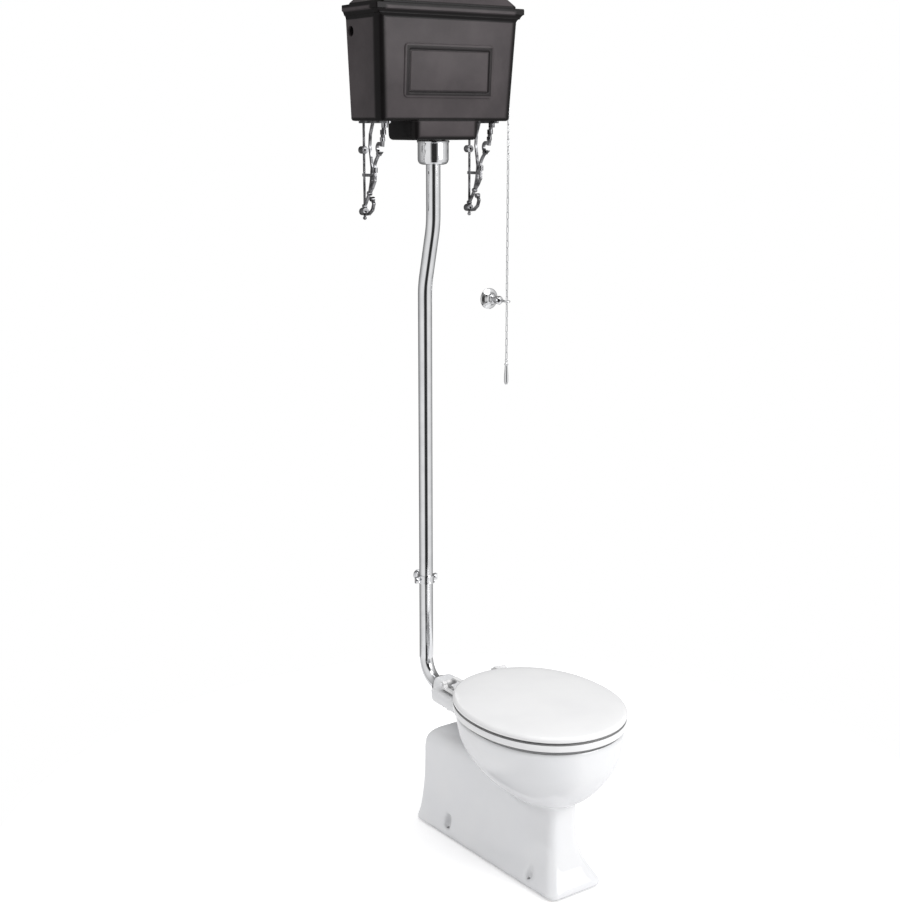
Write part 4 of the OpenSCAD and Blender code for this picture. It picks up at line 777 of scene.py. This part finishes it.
# %% The bowl's outside, from its belly up to the rim
bowl_rows = [
    bowl_row(RIM_HIGH * 0.46, 148, 190, 190, 2.0), bowl_row(RIM_HIGH * 0.50, 122, 140, 128, 2.0),
    bowl_row(RIM_HIGH * 0.55, 96, 100, 88), bowl_row(RIM_HIGH * 0.60, 73, 72, 62),
    bowl_row(RIM_HIGH * 0.66, 51, 48, 41), bowl_row(RIM_HIGH * 0.73, 31, 30, 22),
    bowl_row(RIM_HIGH * 0.80, 16, 15, 8), bowl_row(RIM_HIGH * 0.87, 6, 5, 2),
    bowl_row(RIM_HIGH * 0.93, 2, 2, 1), bowl_row(RIM_HIGH - 10, 0.2, 0.2, 0.2),
    bowl_row(RIM_HIGH - 3, 0.3, 0.3, 0.3), bowl_row(RIM_HIGH, 3, 3, 3),
]
bowl = stacked([oval(row) for row in between(bowl_rows, 5)])
print("bowl:", len(bowl.faces), "faces")

# %% The foot, and the hollow that saves clay inside it
foot_rows = [
    foot_row(0, 0, 0, 0, 0), foot_row(12, 0, 0, 0, 0), foot_row(17, 3, 3, 2.5, 3),
    foot_row(32, 6, 14, 6, 11), foot_row(55, 9, 30, 9, 21), foot_row(85, 12, 43, 11, 29, 19),
    foot_row(120, 14, 50, 13, 34, 20), foot_row(HUMP_HIGH - 84, 15, 52, 14, 36, 21),
    foot_row(HUMP_HIGH - 45, 15, 52, 14, 36, 22), foot_row(HUMP_HIGH - 26, 17, 56, 16, 37, 24),
    foot_row(HUMP_HIGH - 13, 23, 64, 22, 39, 28), foot_row(HUMP_HIGH - 4, 33, 80, 32, 43, 34),
    foot_row(HUMP_HIGH, 48, 100, 46, 49, 30),
]
hollow_rows = [
    hollow_row(-4, 0, 0, 0, 0), hollow_row(14, 0, 0, 0, 0), hollow_row(60, 10, 34, 10, 24),
    hollow_row(120, 16, 52, 15, 35), hollow_row(HUMP_HIGH - 96, 18, 70, 16, 37),
]
foot = boxy("foot", between(foot_rows, 4))
combined(foot, boxy("hollow", between(hollow_rows, 3)), "DIFFERENCE")
foot_shape = bmesh.new()
foot_shape.from_mesh(foot.data)
bpy.data.objects.remove(foot)
print("foot:", len(foot_shape.faces), "faces")

# %% The waterway: well, trap, weir and outlet, as a thicker wall and as the bore
WELL = (0.0, -218.0, 57.0)
WEIR = (0.0, -76.0, HUMP_HIGH - 48.0)
WELL_RADIUS, TRAP_RADIUS, OUTLET_RADIUS = 43, 31, 43
CHINA_THICK = 11


def waterway(extra):
    return [
        bar_between(WELL, (0, -218, RIM_HIGH * 0.5), WELL_RADIUS + extra),
        ball(WELL, WELL_RADIUS + extra),
        bar_between((0, -212, 57), WEIR, TRAP_RADIUS + extra),
        ball(WEIR, TRAP_RADIUS + extra),
        bar_between(WEIR, (0, 0, HUMP_HIGH - 56), TRAP_RADIUS + extra),
    ]


# %% The ears for the seat, the horn for the pipe, and the bosses round the floor screws
ears = [block((side * EAR_OUT - EAR_HALF, -136, RIM_HIGH - 37),
              (side * EAR_OUT + EAR_HALF, 3, RIM_HIGH - 5)) for side in SIDES]
for ear in ears:
    round_edges(ear, axis=2, corner=12)
horn = block((-HORN_HALF, -136, HORN_HIGH - HORN_HALF), (HORN_HALF, 115, HORN_HIGH + HORN_HALF))
round_edges(horn, axis=1, corner=16)
bosses = [bar_between((x, y, 0), (x, y, 24), 11) for x, y in SCREW_PLACES]
bosses += [bar_between((x - math.copysign(26, x), y, 0), (x - math.copysign(26, x), y, 58), 18)
           for x, y in SCREW_PLACES]
outlet = bar_between((0, 0, 0), (0, 0, HUMP_HIGH - 62), 52)
print("ears:", len(ears), "bosses:", len(bosses))


# %% All of the china in one skin, which is smoothed everywhere but on top of the ears
def on_ears(place):
    return place.z > (RIM_HIGH - 8) * MM and place.y > -75 * MM


pan = gathered("white_pan",
               [bowl, foot_shape, horn, *ears, *bosses, *waterway(CHINA_THICK), outlet])
fused(pan, VOXEL)
softened(pan, 8, on_ears)
print("pan in one skin:", len(pan.data.polygons), "faces")

# %% The inside of the bowl and the waterway are cut in one go
inside_rows = [
    bowl_row(RIM_HIGH * 0.44, 140, 103, 253, 2.0), bowl_row(RIM_HIGH * 0.54, 124, 118, 145, 2.0),
    bowl_row(RIM_HIGH * 0.60, 98, 98, 98, 2.0), bowl_row(RIM_HIGH * 0.67, 71, 72, 66, 2.0),
    bowl_row(RIM_HIGH * 0.75, 46, 47, 42, 2.0), bowl_row(RIM_HIGH * 0.84, 29, 31, 26, 2.1),
    bowl_row(RIM_HIGH - 38, 22, 24, 20, 2.1), bowl_row(RIM_HIGH - 32, 34, 40, 34, 2.1),
    bowl_row(RIM_HIGH - 5, 35, 41, 35, 2.1), bowl_row(RIM_HIGH - 1, 37, 43, 37, 2.1),
    bowl_row(RIM_HIGH + 4, 41, 47, 41, 2.1),
]
inside = gathered("inside", [
    stacked([oval(row) for row in between(inside_rows, 3)]), *waterway(0),
    bar_between((0, 0, -6), (0, 0, HUMP_HIGH - 60), OUTLET_RADIUS),
    ball((0, 0, HUMP_HIGH - 60), OUTLET_RADIUS - 1)])
fused(inside, BORE_VOXEL)
combined(pan, inside, "DIFFERENCE", "MANIFOLD")

# %% The scoops over the floor screws, and the last smoothing
scoops = gathered("scoops", [bar_between((x, y, 20), (x, y, 56), 10) for x, y in SCREW_PLACES])
combined(pan, scoops, "DIFFERENCE", "MANIFOLD")
fused(pan, VOXEL)
softened(pan, 6, on_ears)
print("pan with its bowl and scoops:", len(pan.data.polygons), "faces")

# %% Bored holes stay crisp, so they come last: the horn's socket and bore, the hinge, the screws
bores = gathered("bores", [
    bar_between((0, 50, HORN_HIGH), (0, 119, HORN_HIGH), 25),
    bar_between((0, -130, HORN_HIGH), (0, 60, HORN_HIGH), 16),
    *[bar_between((side * HINGE_OUT, HINGE_Y, RIM_HIGH - 70),
                  (side * HINGE_OUT, HINGE_Y, RIM_HIGH + 2), 7.5) for side in SIDES],
    *[bar_between((x, y, -4), (x, y, 30), 4) for x, y in SCREW_PLACES]])
combined(pan, bores, "DIFFERENCE")
for vert in pan.data.vertices:
    vert.co.z = max(vert.co.z, 0.0)
shaded(pan)
set_piece(pan, china, "frame", "pan")

# %% [markdown]
# ## The seat and the lid
# Both are pressed resin with polished edges. The seat is one closed section carried round an oval;
# the lid is a shallow dome. A subdivided torus would do for the seat, but its outside and its
# opening are different ovals, so rows of outlines hold both better.

# %% The seat's section, outside first and then down through the opening
OPENING_WIDE = 226.0
OPENING_BACK, OPENING_FRONT = -157.72, -443.72


def seat_edge(height, inset, square=SEAT_SQUARE):
    return [height, SEAT_WIDE / 2 - inset, SEAT_BACK - inset, SEAT_FRONT + inset, square]


def seat_opening(height, inset):
    return [height, OPENING_WIDE / 2 - inset, OPENING_BACK - inset, OPENING_FRONT + inset,
            SEAT_SQUARE]


outside_rows = [
    seat_edge(SEAT_LOW, 2), seat_edge(SEAT_LOW + 0.5, 0.7), seat_edge(SEAT_LOW + 1.6, 0.1),
    seat_edge(SEAT_LOW + 7.6, 0), seat_edge(SEAT_HIGH - 3.4, 0.2), seat_edge(SEAT_HIGH - 1.2, 1.1),
    seat_edge(SEAT_HIGH - 0.2, 3.2), seat_edge(SEAT_HIGH, 8.0),
]
opening_rows = [
    seat_opening(SEAT_HIGH - 0.2, -24), seat_opening(SEAT_HIGH - 1.4, -15),
    seat_opening(SEAT_HIGH - 4.5, -7), seat_opening(SEAT_HIGH - 9.0, -1.5),
    seat_opening(SEAT_LOW + 4.0, 0), seat_opening(SEAT_LOW + 0.8, -2.0),
    seat_opening(SEAT_LOW, -5.5),
]
section = between(outside_rows, 3) + between(opening_rows, 3)
seat = gathered("oval_seat", [stacked([oval(row, 160) for row in section], loop=True)])
shaded(seat)
set_piece(seat, resin, "seat", "seat")

# %% The lid, a shallow dome with a rolled edge
LID_HIGH = LID_LOW + 13.0
lid_rows = [
    seat_edge(LID_LOW + 0.3, 12), seat_edge(LID_LOW, 3), seat_edge(LID_LOW + 0.4, 0.9),
    seat_edge(LID_LOW + 1.5, 0.2), seat_edge(LID_LOW + 6.5, 0), seat_edge(LID_HIGH - 3.5, 1.4),
    seat_edge(LID_HIGH - 1.0, 4.6), seat_edge(LID_HIGH + 0.2, 9), seat_edge(LID_HIGH + 2.7, 30),
    seat_edge(LID_HIGH + 4.9, 75, 2.05), seat_edge(LID_HIGH + 5.8, 120, 2.0),
    seat_edge(LID_HIGH + 6.0, 165, 2.0), seat_edge(LID_HIGH + 6.0, 183, 2.0),
]
lid = gathered("domed_lid", [stacked([oval(row, 160) for row in between(lid_rows, 3)])])
shaded(lid)
set_piece(lid, resin, "lid", "lid")

# %% [markdown]
# ## The cistern
# The cistern is a sand casting with 5 mm walls: a box that narrows downwards, so that it leaves the
# mould, a sump for the siphon, a rim moulding, and a raised frame with a bare panel on its front.
# It could be carved from one cube with insets and bevels, but the moulding would be hard to keep
# even round the corners. Rows of outlines give the moulding its profile, and booleans do what the
# foundry's cores and the drill do.

# %% More set-out values of the cistern, in millimetres
TANK_BACK, SUMP_BACK = 216.0, 208.0
MOULDING_OUT = 9.0
SIPHON_RADIUS = 24.2
LUG_OUT, LUG_HIGH = 130, 1968


def front_of(height):
    return FRONT_HIGH + FRONT_TAPER * (1.0 - (height - TANK_LOW) / BOX_TALL)


# %% A row of the box and a row of the sump, by how far each stands out from the wall
def tank_row(height, out, at=None, crisp=0.0):
    level = min(height if at is None else at, BOX_HIGH)
    wide = BOX_WIDE - BOX_TAPER * (1.0 - (level - TANK_LOW) / BOX_TALL) + 2 * out
    return [height, wide, wide, TANK_BACK + min(out, 0.0), front_of(level) - out,
            max((8.0 + out) * (1.0 - crisp), 4.0), max((21.0 + out) * (1.0 - crisp), 5.0)]


def sump_row(height, out):
    wide = SUMP_WIDE + 2 * out
    return [height, wide, wide, SUMP_BACK + out, SUMP_FRONT - out, 16 + out, 18 + out]


# %% The box with its moulding: a cove, a fillet, a quarter round and a square edge
moulding = [
    (0.00, 0.00), (0.05, 0.04), (0.12, 0.10), (0.18, 0.18), (0.22, 0.27), (0.23, 0.40),
    (0.30, 0.41), (0.34, 0.45), (0.42, 0.52), (0.49, 0.64), (0.54, 0.80), (0.56, 1.00),
    (0.92, 1.00), (1.00, 0.90),
]
box_rows = [tank_row(TANK_LOW, -7, TANK_LOW), tank_row(TANK_LOW + 0.8, -3.4, TANK_LOW),
            tank_row(TANK_LOW + 2.6, -1.1), tank_row(TANK_LOW + 6, 0)]
box_rows += [tank_row(BOX_HIGH + (TANK_HIGH - BOX_HIGH) * up, MOULDING_OUT * out,
                      crisp=min(out * 1.4, 1.0)) for up, out in moulding]
tank = boxy("cast_cistern", box_rows)
print("box with moulding:", len(tank.data.polygons), "faces")

# %% The sump under it, and the two lugs that meet the wall
sump_rows = [sump_row(SUMP_LOW, -10), sump_row(SUMP_LOW + 2, -5), sump_row(SUMP_LOW + 7, -1.5),
             sump_row(SUMP_LOW + 18, 0), sump_row(SUMP_LOW + 48, 1)]
combined(tank, boxy("sump", between(sump_rows, 3)), "UNION")
for side in SIDES:
    lug = bar_between((side * LUG_OUT, 214, LUG_HIGH), (side * LUG_OUT, 225, LUG_HIGH), 11)
    combined(tank, gathered("lug", [lug]), "UNION")
print("with sump and lugs:", len(tank.data.polygons), "faces")

# %% The raised frame on the front: a rolled edge, a flat, a sunk channel and the bare panel
plate_rows = [
    (-3.0, 0.0), (0.6, 0.0), (2.2, 0.8), (3.0, 2.2), (3.0, 11.4), (2.5, 12.6), (0.5, 14.0),
    (0.5, 16.4), (1.9, 17.6), (2.2, 18.6),
]
plate = stacked([rounded([up, PLATE_WIDE - 2 * inset, PLATE_WIDE - 2 * inset,
                          PLATE_TALL / 2 - inset, inset - PLATE_TALL / 2,
                          max(10 - inset * 0.45, 2), max(10 - inset * 0.45, 2)])
                 for up, inset in plate_rows])
lean_back = Matrix.Rotation(math.radians(90.0) + math.atan2(FRONT_TAPER, BOX_TALL), 4, "X")
spot = Matrix.Translation((0.0, front_of(PLATE_MIDDLE) * MM, PLATE_MIDDLE * MM))
bmesh.ops.transform(plate, verts=plate.verts, matrix=spot @ lean_back)
combined(tank, gathered("plate", [plate]), "UNION")
print("with the frame:", len(tank.data.polygons), "faces")

# %% The cores: the inside of the box and the sump, less the two ledges for the lever's bridge
LEDGES = (((106, 197, 1961), (128, 213.5, 1975)), ((106, 76, 1961), (128, 92.6, 1975)))
core = boxy("core", (
    tank_row(TANK_LOW + 5, -8), tank_row(TANK_LOW + 10, -5), tank_row(BOX_HIGH, -5),
    [TANK_HIGH - 8, 390, 390, 211, 77, 5, 13], [TANK_HIGH - 7, 366, 366, 211, 77, 5, 13],
    [TANK_HIGH + 3, 366, 366, 211, 77, 5, 13]))
combined(core, boxy("sump_core", (
    sump_row(SUMP_LOW + 5, -13), sump_row(SUMP_LOW + 14, -6), sump_row(SUMP_LOW + 52, -5))),
    "UNION")
for low, high in LEDGES:
    combined(core, gathered("ledge", [block(low, high)]), "DIFFERENCE")
combined(tank, core, "DIFFERENCE")
print("hollow:", len(tank.data.polygons), "faces")

# %% The holes and the slot
# In this order: the siphon's, the open one in the left end, the valve's in the right end, the
# screws' through the lugs, the lever's slot, and the screws' under the lever's bridge.
for hole in (
        bar_between((0, 147, 1710), (0, 147, 1728), SIPHON_RADIUS),
        bar_between((-225, 191, 1962), (-170, 191, 1962), 12),
        bar_between((170, 191, 1962), (225, 191, 1962), 11.4),
        *[bar_between((side * LUG_OUT, 196, LUG_HIGH), (side * LUG_OUT, 228, LUG_HIGH), 2.75)
          for side in SIDES],
        block((170, 140.5, 1965.6), (230, 153.5, 2030)),
        *[bar_between((117, y, 1963), (117, y, 1993), 2.6, segments=24) for y in (203, 86.64)]):
    combined(tank, gathered("hole", [hole]), "DIFFERENCE")
level_shaded(tank)
set_piece(tank, iron, "frame", "cistern_tank")

# %% [markdown]
# ## The cistern's lid
# A second casting closes the box. It slopes in on all sides, is hollow below, and four tabs keep it
# from sliding off. A cube with an inset and a bevel would give the slope too. Rows are used again,
# because the lid has to follow the box's outline.

# %% The lid, hollow inside, with four tabs
COVER_WIDE, COVER_BACK, COVER_FRONT = 382.0, 214.0, 70.0


def cover_row(up, inset):
    wide = COVER_WIDE - 2 * inset
    return [TANK_HIGH + up, wide, wide, COVER_BACK - inset, COVER_FRONT + inset,
            max(6 - inset / 4, 2), max(10 - inset / 4, 3)]


cover = boxy("cast_cover", (
    cover_row(0, 0.8), cover_row(0.8, 0), cover_row(4, 0), cover_row(5.4, 0.6), cover_row(7, 2),
    cover_row(27, 20), cover_row(28.6, 22), cover_row(30, 24.4), cover_row(35, 25.8),
    cover_row(37.5, 27.4), cover_row(39.4, 30), cover_row(40, 33)))
combined(cover, boxy("cover_core", (
    cover_row(-3, 5), cover_row(3, 5), cover_row(24, 27), cover_row(35, 37))), "DIFFERENCE")
for x in (-140, 140):
    for y in (79, 205):
        tab = block((x - 8, y, TANK_HIGH - 5), (x + 8, y + 4, TANK_HIGH + 11))
        combined(cover, gathered("tab", [tab]), "UNION")
level_shaded(cover)
set_piece(cover, iron, "cover", "cistern_cover")
